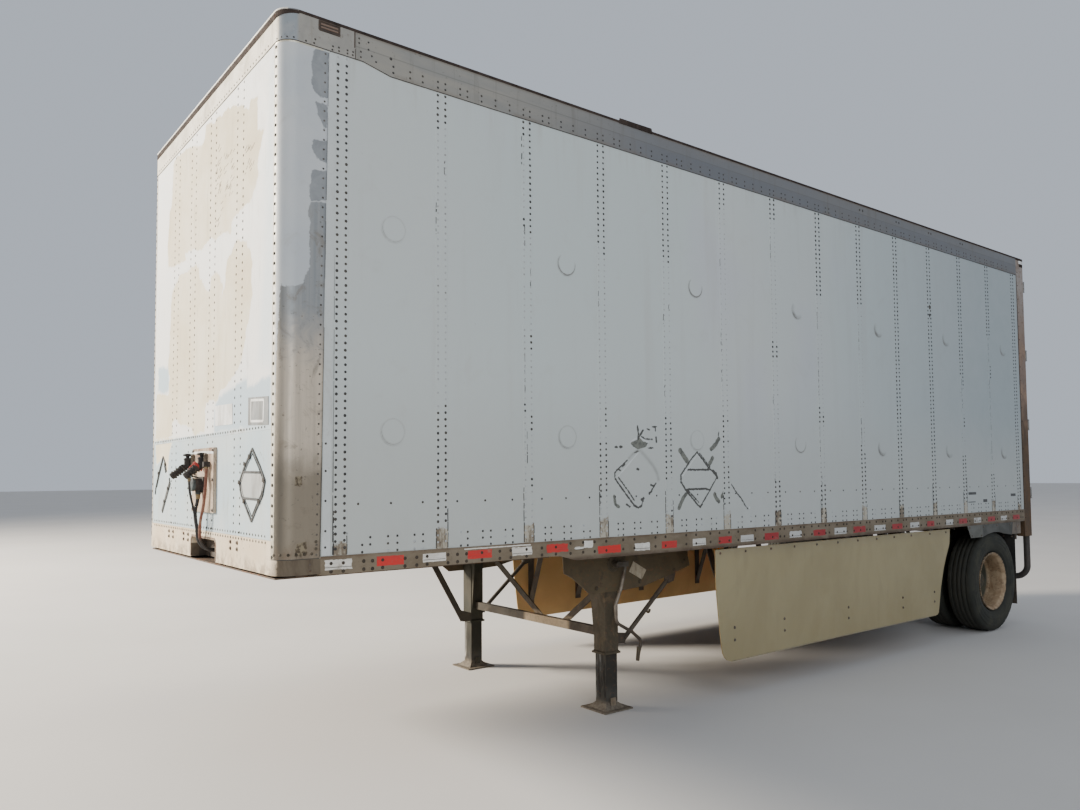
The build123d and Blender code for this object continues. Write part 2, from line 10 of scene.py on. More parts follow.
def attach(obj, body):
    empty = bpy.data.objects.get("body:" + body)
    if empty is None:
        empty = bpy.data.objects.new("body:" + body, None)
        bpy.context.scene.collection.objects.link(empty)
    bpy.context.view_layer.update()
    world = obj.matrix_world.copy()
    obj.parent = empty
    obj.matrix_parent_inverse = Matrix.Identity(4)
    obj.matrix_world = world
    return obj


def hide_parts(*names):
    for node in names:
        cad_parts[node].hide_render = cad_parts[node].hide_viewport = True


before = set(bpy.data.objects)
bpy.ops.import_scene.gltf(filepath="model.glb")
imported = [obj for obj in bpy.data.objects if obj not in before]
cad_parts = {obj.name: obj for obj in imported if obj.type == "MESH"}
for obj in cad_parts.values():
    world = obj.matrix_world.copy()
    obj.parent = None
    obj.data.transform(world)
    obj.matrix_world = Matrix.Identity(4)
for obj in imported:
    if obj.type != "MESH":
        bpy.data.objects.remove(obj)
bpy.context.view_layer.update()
scene = bpy.context.scene
dice = random.Random(11)

# body dimensions, millimetres
X_NOSE, X_REAR = 4245.0, -4290.0
HALF, SHEET = 1295.5, 1292.5
AXLE_X, AXLE_Z = X_NOSE - 7634.0, 516.0
LEG_X, LEG_Y = X_NOSE - 2548.0, 866.0
PITCH = 609.6
COLUMNS = [(305 + PITCH * k, 354.5 + PITCH * k) for k in range(14)]


def X(behind):
    """Lengthwise place of a point that far behind the nose face."""
    return X_NOSE - behind


# ---------------------------------------------------------------- camera
YAW, TILT, ROLL = 4.0509525, 0.0507252, -0.0072788
ahead = Vector((math.cos(TILT) * math.cos(YAW), math.cos(TILT) * math.sin(YAW), math.sin(TILT)))
flat_right = ahead.cross(Vector((0, 0, 1))).normalized()
flat_up = flat_right.cross(ahead)
right = flat_right * math.cos(ROLL) + flat_up * math.sin(ROLL)
up = flat_up * math.cos(ROLL) - flat_right * math.sin(ROLL)
lens = bpy.data.cameras.new("view")
lens.sensor_fit = "HORIZONTAL"
lens.sensor_width = 36.0
lens.lens = 36.0 * 840.262 / 1080
lens.shift_x = (540.0 - 544.561) / 1080
lens.shift_y = (433.756 - 405.0) / 1080
lens.clip_start, lens.clip_end = 0.05, 400
camera = bpy.data.objects.new("camera", lens)
camera.matrix_world = Matrix((
    (right.x, up.x, -ahead.x, 5.75636), (right.y, up.y, -ahead.y, 5.38485), (right.z, up.z, -ahead.z, 1.64420), (0, 0, 0, 1)))
scene.collection.objects.link(camera)
scene.camera = camera


# ---------------------------------------------------------------- material kit
class Mat:
    def __init__(self, name, rough=0.6, metal=0.0, spec=0.4):
        self.m = bpy.data.materials.new(name)
        self.m.use_nodes = True
        self.t = self.m.node_tree
        self.t.nodes.clear()
        out = self.n("ShaderNodeOutputMaterial")
        self.b = self.n("ShaderNodeBsdfPrincipled")
        self.t.links.new(self.b.outputs[0], out.inputs[0])
        self.b.inputs["Roughness"].default_value = rough
        self.b.inputs["Metallic"].default_value = metal
        self.b.inputs["Specular IOR Level"].default_value = spec
        self.co = self.n("ShaderNodeTexCoord").outputs["Object"]
        split = self.n("ShaderNodeSeparateXYZ")
        self.t.links.new(self.co, split.inputs[0])
        self.x, self.y, self.z = split.outputs

    def n(self, kind, **props):
        node = self.t.nodes.new(kind)
        for k, v in props.items():
            setattr(node, k, v)
        return node

    def put(self, socket, value):
        if isinstance(value, bpy.types.NodeSocket):
            self.t.links.new(value, socket)
        elif isinstance(value, (tuple, list)):
            socket.default_value = tuple(value) + (1.0,) if len(value) == 3 and len(socket.default_value) == 4 else tuple(value)
        else:
            socket.default_value = value

    def op(self, kind, a, b=0.0, clamp=False):
        node = self.n("ShaderNodeMath", operation=kind, use_clamp=clamp)
        self.put(node.inputs[0], a)
        self.put(node.inputs[1], b)
        return node.outputs[0]

    def band(self, v, lo, hi, a=0.0, b=1.0):
        """a below lo, b above hi, smooth between."""
        node = self.n("ShaderNodeMapRange", interpolation_type="SMOOTHSTEP")
        self.put(node.inputs["Value"], v)
        flip = lo > hi
        node.inputs["From Min"].default_value = min(lo, hi)
        node.inputs["From Max"].default_value = max(lo, hi)
        node.inputs["To Min"].default_value = b if flip else a
        node.inputs["To Max"].default_value = a if flip else b
        return node.outputs[0]

    def noise(self, scale, detail=4.0, rough=0.55, stretch=None, warp=0.0):
        node = self.n("ShaderNodeTexNoise")
        node.inputs["Scale"].default_value = scale
        node.inputs["Detail"].default_value = detail
        node.inputs["Roughness"].default_value = rough
        node.inputs["Distortion"].default_value = warp
        if stretch:
            m = self.n("ShaderNodeMapping")
            m.inputs["Scale"].default_value = stretch
            self.t.links.new(self.co, m.inputs["Vector"])
            self.t.links.new(m.outputs[0], node.inputs["Vector"])
        else:
            self.t.links.new(self.co, node.inputs["Vector"])
        return node.outputs["Fac"]

    def cells(self, scale, stretch=None):
        node = self.n("ShaderNodeTexVoronoi", feature="F1")
        node.inputs["Scale"].default_value = scale
        if stretch:
            m = self.n("ShaderNodeMapping")
            m.inputs["Scale"].default_value = stretch
            self.t.links.new(self.co, m.inputs["Vector"])
            self.t.links.new(m.outputs[0], node.inputs["Vector"])
        else:
            self.t.links.new(self.co, node.inputs["Vector"])
        return node.outputs["Distance"]

    def mix(self, f, a, b):
        node = self.n("ShaderNodeMix", data_type="RGBA")
        self.put(node.inputs[0], f)
        self.put(node.inputs[6], a)
        self.put(node.inputs[7], b)
        return node.outputs[2]

    def attr(self, name):
        return self.n("ShaderNodeAttribute", attribute_name=name).outputs["Fac"]

    def normal(self):
        node = self.n("ShaderNodeSeparateXYZ")
        self.t.links.new(self.n("ShaderNodeNewGeometry").outputs["Normal"], node.inputs[0])
        return node.outputs

    def times(self, a, b):
        return self.op("MULTIPLY", a, b)

    def either(self, a, b):
        return self.op("MAXIMUM", a, b)

    def edge(self, level, wiggle, amount, soft=0.04):
        """Crisp irregular border of a 0..1 level whose outline is at 0.5."""
        v = self.op("ADD", level, self.times(self.op("SUBTRACT", wiggle, 0.5), amount))
        return self.band(v, 0.5 - soft, 0.5 + soft)

    def colour(self, c):
        self.put(self.b.inputs["Base Color"], c)

    def rough(self, r):
        self.put(self.b.inputs["Roughness"], r)

    def bump(self, height, strength=0.3, distance=0.002):
        node = self.n("ShaderNodeBump")
        node.inputs["Strength"].default_value = strength
        node.inputs["Distance"].default_value = distance
        self.t.links.new(height, node.inputs["Height"])
        self.t.links.new(node.outputs[0], self.b.inputs["Normal"])


def worn(name, base, vary, dirt, rust=None, rust_from=0.58, scale=2.5, rough=0.6, metal=0.0, spec=0.4, grain=90.0,
         relief=0.25, streak=True, dirt_from=0.5):
    """Metal or plastic that has stood outside: tone changes, dirt streaks and rust patches."""
    k = Mat(name, rough, metal, spec)
    c = k.mix(k.band(k.noise(scale, 3), 0.35, 0.68), base, vary)
    d = k.noise(scale * 2.2, 6, 0.6, (1, 1, 0.3) if streak else None, 0.4)
    c = k.mix(k.times(k.band(d, dirt_from, dirt_from + 0.22), 0.75), c, dirt)
    fine = k.noise(grain, 3, 0.6)
    c = k.mix(k.times(k.band(fine, 0.55, 0.75), 0.3), c, dirt)
    r = k.band(fine, 0.3, 0.7, rough - 0.08, rough + 0.1)
    if rust:
        n = k.noise(scale * 3.1, 8, 0.68, None, 0.8)
        m = k.band(n, rust_from, rust_from + 0.08)
        tone = k.mix(k.band(k.noise(60, 4), 0.4, 0.62), rust, tuple(v * 0.5 for v in rust))
        c = k.mix(m, c, tone)
        r = k.op("ADD", r, k.times(m, 0.15), clamp=True)
    k.colour(c)
    k.rough(r)
    k.bump(k.op("ADD", k.times(fine, 0.5), k.times(d, 0.5)), relief, 0.0015)
    return k.m


def clothe(material, *nodes):
    for n in nodes:
        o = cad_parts[n]
        o.data.materials.clear()
        o.data.materials.append(material)


# ---------------------------------------------------------------- mesh kit (millimetres in, metres out)
class Bag:
    def __init__(self):
        self.v, self.f = [], []

    def add(self, verts, faces):
        o = len(self.v)
        self.v.extend(tuple(map(float, p)) for p in verts)
        self.f.extend(tuple(i + o for i in q) for q in faces)


def piece(name, bag, material, body="trailer", smooth=False, attrs=None):
    mesh = bpy.data.meshes.new(name)
    mesh.from_pydata([(x / 1000, y / 1000, z / 1000) for x, y, z in bag.v], [], bag.f)
    mesh.validate()
    mesh.polygons.foreach_set("use_smooth", [smooth] * len(mesh.polygons))
    for key, values in (attrs or {}).items():
        a = mesh.attributes.new(key, "FLOAT", "POINT")
        a.data.foreach_set("value", np.asarray(values, np.float32))
    mesh.materials.append(material)
    mesh.update()
    o = bpy.data.objects.new(name, mesh)
    scene.collection.objects.link(o)
    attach(o, body)
    return o


def frame_of(normal):
    n = Vector(normal).normalized()
    a = Vector((0, 0, 1)) if abs(n.z) < 0.9 else Vector((1, 0, 0))
    u = a.cross(n).normalized()
    return u, n.cross(u), n


def dome(bag, p, normal, r, h, n=8):
    u, v, w = frame_of(normal)
    p = Vector(p)
    rows = []
    for rr, hh in ((1.0, 0.0), (0.8, 0.62)):
        rows += [p + (u * math.cos(2 * math.pi * i / n) + v * math.sin(2 * math.pi * i / n)) * r * rr + w * h * hh for i in range(n)]
    rows.append(p + w * h)
    faces = [(i, (i + 1) % n, n + (i + 1) % n, n + i) for i in range(n)]
    faces += [(n + i, n + (i + 1) % n, 2 * n) for i in range(n)]
    bag.add(rows, faces)


def turned(bag, p, normal, profile, n=16, cap=True, phase=0.0):
    """Turned piece: profile is (radius, height) from the foot up."""
    u, v, w = frame_of(normal)
    p = Vector(p)
    verts = [p + (u * math.cos(phase + 2 * math.pi * i / n) + v * math.sin(phase + 2 * math.pi * i / n)) * r + w * h
             for r, h in profile for i in range(n)]
    faces = [(k * n + i, k * n + (i + 1) % n, (k + 1) * n + (i + 1) % n, (k + 1) * n + i)
             for k in range(len(profile) - 1) for i in range(n)]
    if cap:
        faces.append(tuple((len(profile) - 1) * n + i for i in range(n)))
        faces.append(tuple(reversed(range(n))))
    bag.add(verts, faces)


def bolt(bag, p, normal, r=9.0, h=7.0):
    """Washer and hexagon head with a chamfer."""
    turned(bag, p, normal, [(r * 1.45, 0), (r * 1.45, 1.6), (r * 1.3, 2.2)], 14)
    u, v, w = frame_of(normal)
    turned(bag, Vector(p) + w * 2.0, normal, [(r, 0), (r, h * 0.8), (r * 0.82, h)], 6, phase=dice.random())


def slab(bag, corners, normal, t, bevel=1.0):
    """Plate on a flat outline with a bevelled upper edge."""
    w = Vector(normal).normalized()
    pts = [Vector(c) for c in corners]
    mid = sum(pts, Vector()) / len(pts)
    rows = list(pts)
    rows += [q + w * (t - bevel) for q in pts]
    rows += [q + (mid - q).normalized() * bevel * 1.3 + w * t for q in pts]
    n = len(pts)
    area = Vector()
    for a, b in zip(pts, pts[1:] + pts[:1]):
        area += (a - mid).cross(b - mid)
    flip = area.dot(w) < 0
    faces = []
    for k in range(2):
        for i in range(n):
            q = (k * n + i, k * n + (i + 1) % n, (k + 1) * n + (i + 1) % n, (k + 1) * n + i)
            faces.append(tuple(reversed(q)) if flip else q)
    top = tuple(2 * n + i for i in range(n))
    faces.append(tuple(reversed(top)) if flip else top)
    bottom = tuple(reversed(range(n)))
    faces.append(tuple(reversed(bottom)) if flip else bottom)
    bag.add(rows, faces)


def strip(bag, a, b, width, t, normal, seg=1, bevel=1.0, wobble=0.0):
    """Raised strip from a to b, split into seg lengths."""
    a, b, w = Vector(a), Vector(b), Vector(normal).normalized()
    along = (b - a).normalized()
    side = w.cross(along)
    h = width / 2
    verts = []
    for i in range(seg + 1):
        c = a + (b - a) * (i / seg)
        j = dice.uniform(-wobble, wobble)
        verts += [c - side * h, c - side * (h - bevel) + w * (t + j), c + side * (h - bevel) + w * (t + j), c + side * h]
    faces = []
    for i in range(seg):
        for k in range(3):
            faces.append((4 * i + k, 4 * i + 4 + k, 4 * i + 5 + k, 4 * i + 1 + k))
    faces += [(0, 1, 2, 3), (4 * seg + 3, 4 * seg + 2, 4 * seg + 1, 4 * seg)]
    bag.add(verts, faces)


def pipe(bag, pts, r, n=10, closed=False):
    """Round bar or tube along a line of points."""
    pts = [Vector(q) for q in pts]
    count = len(pts)
    tangents = []
    for i in range(count):
        a = pts[(i - 1) % count] if closed or i else pts[i]
        b = pts[(i + 1) % count] if closed or i < count - 1 else pts[i]
        tangents.append((b - a).normalized())
    u, _, _ = frame_of(tangents[0])
    verts = []
    for c, t in zip(pts, tangents):
        u = (u - t * u.dot(t)).normalized()
        v = t.cross(u)
        verts += [c + (u * math.cos(2 * math.pi * i / n) + v * math.sin(2 * math.pi * i / n)) * r for i in range(n)]
    rings = count if closed else count - 1
    faces = [(k * n + i, k * n + (i + 1) % n, ((k + 1) % count) * n + (i + 1) % n, ((k + 1) % count) * n + i)
             for k in range(rings) for i in range(n)]
    if not closed:
        faces += [tuple(reversed(range(n))), tuple((count - 1) * n + i for i in range(n))]
    bag.add(verts, faces)


def arc(centre, r, a0, a1, n, plane="xz"):
    out = []
    for i in range(n + 1):
        a = math.radians(a0 + (a1 - a0) * i / n)
        c, s = r * math.cos(a), r * math.sin(a)
        out.append({"xz": (centre[0] + c, centre[1], centre[2] + s), "yz": (centre[0], centre[1] + c, centre[2] + s),
                    "xy": (centre[0] + c, centre[1] + s, centre[2])}[plane])
    return out


def depth_in(points, outline):
    """Distance to the outline, positive inside."""
    P = np.asarray(points, float)
    A = np.asarray(outline, float)
    B = np.roll(A, -1, 0)
    d = np.full(len(P), 1e9)
    inside = np.zeros(len(P), bool)
    for a, b in zip(A, B):
        ab = b - a
        t = np.clip(((P - a) @ ab) / max(float(ab @ ab), 1e-9), 0, 1)
        d = np.minimum(d, np.hypot(*(P - a - t[:, None] * ab).T))
        if a[1] != b[1]:
            crossing = (a[1] > P[:, 1]) != (b[1] > P[:, 1])
            inside ^= crossing & (P[:, 0] < a[0] + (P[:, 1] - a[1]) * (b[0] - a[0]) / (b[1] - a[1]))
    return np.where(inside, d, -d)


def near_line(points, line):
    P = np.asarray(points, float)
    d = np.full(len(P), 1e9)
    for a, b in zip(line, line[1:]):
        a, b = np.asarray(a, float), np.asarray(b, float)
        ab = b - a
        t = np.clip(((P - a) @ ab) / max(float(ab @ ab), 1e-9), 0, 1)
        d = np.minimum(d, np.hypot(*(P - a - t[:, None] * ab).T))
    return d


def level(depth, reach):
    return np.clip(0.5 + depth / reach, 0, 1)


def grid(us, vs, place):
    """Sheet of quads over two rows of numbers."""
    U, V = np.meshgrid(us, vs)
    uv = np.stack([U.ravel(), V.ravel()], 1)
    bag = Bag()
    bag.v = [tuple(p) for p in place(uv)]
    n = len(us)
    bag.f = [(j * n + i, j * n + i + 1, (j + 1) * n + i + 1, (j + 1) * n + i) for j in range(len(vs) - 1) for i in range(n - 1)]
    return bag, uv


# ---------------------------------------------------------------- hoses
rubber = Mat("hose_rubber", 0.62, 0, 0.35)
n1 = rubber.noise(40, 5, 0.6)
rubber.colour(rubber.mix(rubber.band(n1, 0.45, 0.7), (0.018, 0.018, 0.019), (0.075, 0.068, 0.058)))
rubber.rough(rubber.band(n1, 0.3, 0.7, 0.5, 0.8))
rubber.bump(rubber.noise(260, 3), 0.25, 0.0006)
brown = Mat("brown_rubber", 0.6, 0, 0.35)
n1 = brown.noise(30, 5, 0.6)
tone = brown.mix(brown.band(n1, 0.42, 0.68), (0.17, 0.062, 0.04), (0.26, 0.15, 0.10))
# below 1.27–1.31 m the brown hose is painted dark: painted shade inside the hose pocket
brown.colour(brown.mix(brown.band(brown.z, 1.31, 1.27), tone, (0.035, 0.028, 0.024)))
brown.rough(brown.band(n1, 0.3, 0.7, 0.5, 0.78))
brown.bump(brown.noise(240, 3), 0.25, 0.0006)

HOSES = (
    ("hose_thin", "thin_black_hose", 0.014, 0.5357, rubber.m, "black_rubber", "medium",
     ((106, 130, 1640), (106, 130, 1598), (92, 121, 1530), (69, 109, 1450), (52, 101, 1360), (46, 98, 1283), (19, 97, 1237),
      (-27, 96, 1210), (-94, 96, 1210))),
    ("cable_thick", "thick_black_cable", 0.022, 0.4324, rubber.m, "black_rubber", "stiff",
     ((38, 70, 1552), (38, 70, 1512), (54, 71, 1456), (50, 69, 1400), (38, 66, 1340), (36, 64, 1283), (9, 63, 1237),
      (-37, 62, 1210), (-94, 62, 1210))),
    ("hose_brown", "brown_hose", 0.018, 0.6108, brown.m, "brown_rubber", "medium",
     ((32, 211, 1716), (32, 211, 1640), (37, 206, 1560), (40, 196, 1480), (50, 172, 1405), (46, 148, 1340), (43, 137, 1283),
      (16, 136, 1237), (-30, 135, 1210), (-94, 135, 1210))),
)
for label, node, dia, length, mat, slot, stiff, route in HOSES:
    cu = bpy.data.curves.new(label, "CURVE")
    cu.dimensions = "3D"
    cu.bevel_depth = dia / 2
    cu.bevel_resolution = 4
    cu.resolution_u = 10
    cu.use_fill_caps = True
    sp = cu.splines.new("NURBS")
    sp.points.add(len(route) - 1)
    for q, (p, y, z) in zip(sp.points, route):
        q.co = ((X_NOSE + p) / 1000, y / 1000, z / 1000, 1)
    sp.order_u = 3
    sp.use_endpoint_u = True
    cu.materials.append(mat)
    o = bpy.data.objects.new(label, cu)
    scene.collection.objects.link(o)
    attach(o, "trailer")
    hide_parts(node)
    p, y, z = route[0]


# ---------------------------------------------------------------- paint of the sides
def wall_paint(name):
    k = Mat(name, 0.5, 0, 0.35)
    c = k.mix(k.band(k.noise(0.55, 3, 0.5, (1, 1, 0.45)), 0.35, 0.65), (0.535, 0.59, 0.580), (0.56, 0.59, 0.575))
    c = k.mix(k.times(k.band(k.noise(1.1, 3, 0.5, (1, 1, 0.5), 0.5), 0.52, 0.72), 0.55), c, (0.53, 0.545, 0.585))
    streak = k.noise(9, 5, 0.6, (1, 1, 0.055))
    c = k.mix(k.times(k.band(streak, 0.5, 0.75), 0.3), c, (0.46, 0.465, 0.44))
    blot = k.noise(5, 6, 0.62, None, 0.6)
    c = k.mix(k.times(k.band(blot, 0.56, 0.78), 0.22), c, (0.45, 0.45, 0.42))
    # run-off below the top rail and dirt above the bottom rail
    low = k.times(k.band(k.z, 1.55, 1.24), k.band(k.noise(7, 5, 0.6, (1, 1, 0.35)), 0.35, 0.7))
    c = k.mix(k.times(low, 0.42), c, (0.36, 0.35, 0.30))
    high = k.times(k.band(k.z, 3.62, 3.86), k.band(k.noise(16, 4, 0.6, (1, 1, 0.05)), 0.5, 0.72))
    c = k.mix(k.times(high, 0.3), c, (0.40, 0.39, 0.35))
    # painted shade: darker and bluish toward the rear of the wall
    c = k.mix(k.band(k.x, 1.2, -3.8, 0.0, 0.92), c, (0.36, 0.412, 0.428))
    c = k.mix(k.band(k.z, 2.4, 1.5, 0.0, 0.75), c, (0.48, 0.50, 0.475))
    fleck = k.noise(46, 4, 0.7)
    c = k.mix(k.times(k.band(fleck, 0.70, 0.76), 0.55), c, (0.28, 0.27, 0.25))
    wig = k.noise(85, 4, 0.7)
    wig2 = k.noise(24, 5, 0.7)
    c = k.mix(k.times(k.edge(k.attr("pale"), wig2, 0.5, 0.1), 0.8), c, (0.66, 0.68, 0.68))
    scuff = k.edge(k.attr("scuff"), wig2, 0.75, 0.05)
    c = k.mix(k.times(scuff, 0.9), c, k.mix(k.band(wig2, 0.4, 0.6), (0.060, 0.062, 0.05), (0.165, 0.17, 0.14)))
    mark = k.edge(k.attr("mark"), k.noise(52, 5, 0.75), 0.98, 0.07)
    c = k.mix(k.times(mark, 0.96), c, (0.062, 0.06, 0.054))
    # shallow rings in the sheet with painted shade, and smears of dirt
    ring_shade_and_smear = k.times(k.times(k.attr("ring_shade_and_smear"), 2.1), k.band(wig2, 0.25, 0.6, 0.35, 1.0))
    c = k.mix(ring_shade_and_smear, c, (0.20, 0.195, 0.18))
    bare = k.edge(k.attr("bare"), k.noise(7, 6, 0.72), 1.1, 0.05)
    metal = k.mix(k.band(k.noise(13, 6, 0.7, (1, 1, 0.35)), 0.44, 0.58), (0.46, 0.42, 0.335), (0.17, 0.13, 0.085))
    metal = k.mix(k.times(k.band(k.noise(34, 5, 0.7), 0.56, 0.64), 0.8), metal, (0.10, 0.062, 0.042))
    c = k.mix(k.times(bare, 0.95), c, metal)
    # lining on the inner face
    inner = k.band(k.op("ABSOLUTE", k.y), 1.272, 1.262)
    grain = k.noise(3.0, 6, 0.65, (0.35, 1, 9))
    ply = k.mix(k.band(grain, 0.35, 0.65), (0.44, 0.31, 0.19), (0.30, 0.19, 0.11))
    ply = k.mix(k.times(k.band(k.noise(1.4, 5, 0.65), 0.55, 0.75), 0.6), ply, (0.17, 0.13, 0.10))
    c = k.mix(inner, c, ply)
    k.colour(c)
    k.rough(k.op("ADD", k.band(blot, 0.35, 0.75, 0.42, 0.62), k.times(mark, 0.2), clamp=True))
    k.bump(k.op("ADD", k.times(k.noise(1.7, 3, 0.5, (1, 1, 0.6)), 1.0), k.times(fleck, 0.012)), 0.35, 0.012)
    return k.m


side_paint = wall_paint("side_paint")
clothe(side_paint, "left_side_wall", "right_side_wall")

rivet_dark = Mat("rivet_dark", 0.55, 0.2, 0.4)
t = rivet_dark.noise(7, 4, 0.6)
rivet_dark.colour(rivet_dark.mix(rivet_dark.band(t, 0.4, 0.65), (0.038, 0.036, 0.034), (0.085, 0.074, 0.06)))
rivet_dark.rough(rivet_dark.band(t, 0.3, 0.7, 0.45, 0.7))
rivet_dark = rivet_dark.m
rivet_paint = Mat("rivet_paint", 0.5, 0, 0.35)
t = rivet_paint.noise(11, 4, 0.6)
rivet_paint.colour(rivet_paint.mix(rivet_paint.band(t, 0.5, 0.7), (0.43, 0.45, 0.45), (0.21, 0.205, 0.19)))
rivet_paint.rough(rivet_paint.band(t, 0.3, 0.7, 0.42, 0.65))
rivet_paint = rivet_paint.m
rivet_alu = Mat("rivet_alu", 0.45, 0.6, 0.5)
t = rivet_alu.noise(13, 4, 0.6)
rivet_alu.colour(rivet_alu.mix(rivet_alu.band(t, 0.4, 0.65), (0.15, 0.135, 0.115), (0.06, 0.053, 0.045)))
rivet_alu.rough(rivet_alu.band(t, 0.3, 0.7, 0.4, 0.65))
rivet_alu = rivet_alu.m

# stretches where the rivet heads show dark: (toward the nose column, toward the rear column)
FULL = [(3850, 1250)]
SHOWN = [
    (FULL, FULL),
    ([(3850, 3630), (2025, 1365)], [(3850, 3650), (2060, 1365)]),
    ([(3850, 3755), (3235, 3185), (2100, 2010)], [(3850, 3150), (2510, 2425), (2022, 1905), (1645, 1560)]),
    ([(3850, 3180), (2030, 2015), (1880, 1475)], [(3850, 3105), (2100, 1940), (1880, 1525)]),
    ([(3850, 3150), (2065, 1598)], [(3850, 3150), (2025, 1640), (1570, 1560), (1420, 1350)]),
    ([(3850, 3640), (2100, 1410)], [(3850, 3680), (2065, 2018), (1900, 1860), (1720, 1410)]),
    ([(3850, 3675), (2725, 2575), (1610, 1250)], [(3850, 3685), (2680, 2580), (1605, 1250)]),
    ([(3850, 3115), (2200, 2050), (1570, 1285)], [(3850, 3115), (2140, 2050), (1570, 1250)]),
    ([(3850, 3125), (1910, 1390)], [(3850, 3115), (1845, 1390)]),
    (FULL, FULL), (FULL, FULL),
    ([(3850, 2615), (1850, 1360)], [(3850, 2520), (2220, 2090), (1850, 1360)]),
    ([(3850, 3085), (1655, 1380)], [(3850, 3085), (2800, 2620), (1655, 1380)]),
    (FULL, FULL),
]
# dark lines where the paint has worn off the strip edges: (behind the nose, top, bottom)
WORN_EDGES = [
    (903, 3207, 3025), (958, 3460, 3354), (1511, 3742, 3565), (1530, 3180, 3060), (1525, 2398, 2136), (1539, 1918, 1723),
    (1573, 2922, 2778), (2128, 2859, 2749), (2127, 1530, 1463), (2789, 2846, 2816), (2735, 2775, 2705), (2737, 2272, 2184),
    (3344, 2706, 2560), (3345, 2424, 2299), (3348, 3258, 3190), (3956, 3538, 3351), (3957, 1651, 1560), (3955, 2260, 2202),
    (4567, 3000, 2830), (4567, 2620, 2300), (4568, 2050, 1792), (4582, 1634, 1290), (5190, 2133, 1909), (5184, 2900, 2700),
    (7033, 2600, 2300), (7643, 2629, 1785), (7643, 3080, 2820)]

dark, painted, strips, edges = Bag(), Bag(), Bag(), Bag()
strip_level = []
for side in (1, -1):
    out = (0, side, 0)
    for k, pair in enumerate(COLUMNS):
        top = 3850 if k else 3886
        mid = sum(pair) / 2 + 1
        before = len(strips.v)
        strip(strips, (X(mid), side * SHEET, 1246), (X(mid), side * SHEET, top), 77, 1.5, out, 40, 1.6)
        reach = 118 if k not in (0, 13) else 60
        for v in strips.v[before:]:
            strip_level.append(min(1.0, max(0.0, 0.5 + (1246 + reach - v[2]) / 160)))
        for j, d in enumerate(pair):
            z = top - 12 - (0 if j else 4)
            while z > 1250:
                shown = SHOWN[k if side > 0 else (k * 5 + 3) % 14][j]
                on = any(a >= z >= b for a, b in shown)
                jit = dice.uniform(-1.2, 1.2)
                if on:
                    r = dice.uniform(7.4, 9.2) * (1.2 if k > 5 else 1.0)
                    dome(dark, (X(d) + jit, side * (SHEET + 1.4), z), out, r, 3.1 if k > 5 else 2.8)
                elif dice.random() < 0.95:
                    dome(painted, (X(d) + jit, side * (SHEET + 1.4), z), out, 6.6, 2.0)
                z -= 38.1
    for d, a, b in WORN_EDGES:
        if side < 0 and dice.random() < 0.4:
            continue
        z = a
        while z > b:
            n = dice.uniform(14, 55)
            strip(edges, (X(d + dice.uniform(-2, 2)), side * (SHEET + 1.2), z), (X(d), side * (SHEET + 1.2), max(b, z - n)),
                  dice.uniform(3.5, 7.5), 0.8, out, 1, 0.8)
            z -= n + dice.uniform(2, 40)
    # rows along the bottom of each bay, the single row above them and the row beside the corner sheet
    for k in range(-1, 13):
        base = 305 + PITCH * k
        for off in (150, 196, 300, 356, 461, 514):
            d = base + off
            if 262 < d < 8230:
                for z in (1330, 1292, 1254):
                    if dice.random() < 0.93:
                        dome(dark if dice.random() < 0.85 else painted, (X(d), side * (SHEET + 0.2), z), out, 7.2, 2.6)
        for off in (126, 317, 512):
            d = base + off
            if 262 < d < 8230:
                dome(dark, (X(d), side * (SHEET + 0.2), 1507), out, 7.0, 2.4)
    for z in (1821, 1680, 1527, 1373, 1290):
        dome(dark, (X(250), side * (SHEET + 0.2), z), out, 7.0, 2.4)
piece("side_post_strips", strips, side_paint, attrs={"bare": strip_level})
piece("side_rivets_dark", dark, rivet_dark, smooth=True)
piece("side_rivets_painted", painted, rivet_paint, smooth=True)
piece("worn_strip_edges", edges, rivet_dark)

# lap of the first side sheet beside the corner sheet
bag, lines = Bag(), Bag()
for side in (1, -1):
    strip(bag, (X(255), side * SHEET, 1248), (X(273), side * SHEET, 3884), 44, 0.7, (0, side, 0), 40, 0.6, 0.1)
    z = 3850
    while z > 1262:
        n = dice.uniform(90, 380)
        z2 = max(1250, z - n)
        d, d2 = 289 + 8 * (z - 1250) / 2600, 289 + 8 * (z2 - 1250) / 2600
        strip(lines, (X(d), side * (SHEET + 0.3), z), (X(d2), side * (SHEET + 0.3), z2), dice.uniform(1.6, 2.8) + (1.4 if z < 2100 else 0), 0.8,
              (0, side, 0), 4, 0.6)
        z = z2 - dice.uniform(5, 70)
    # worn edges at the foot of the post strips
    for k, pair in enumerate(COLUMNS):
        mid = sum(pair) / 2 + 1
        for e in (-37.5, 37.5):
            z, stop = 1250, 1250 + dice.uniform(70, 230) + (170 if dice.random() < 0.3 else 0)
            while z < stop:
                n = dice.uniform(20, 70)
                strip(lines, (X(mid + e), side * (SHEET + 1.0), z), (X(mid + e + dice.uniform(-1.5, 1.5)), side * (SHEET + 1.0), min(stop, z + n)),
                      dice.uniform(4.0, 7.5), 1.2, (0, side, 0), 2, 0.8)
                z += n + dice.uniform(0, 14)
piece("front_sheet_lap", bag, worn("lap_paint", (0.60, 0.63, 0.62), (0.56, 0.59, 0.58), (0.40, 0.39, 0.35), None, scale=4, rough=0.5))
piece("side_joint_lines", lines, rivet_dark)

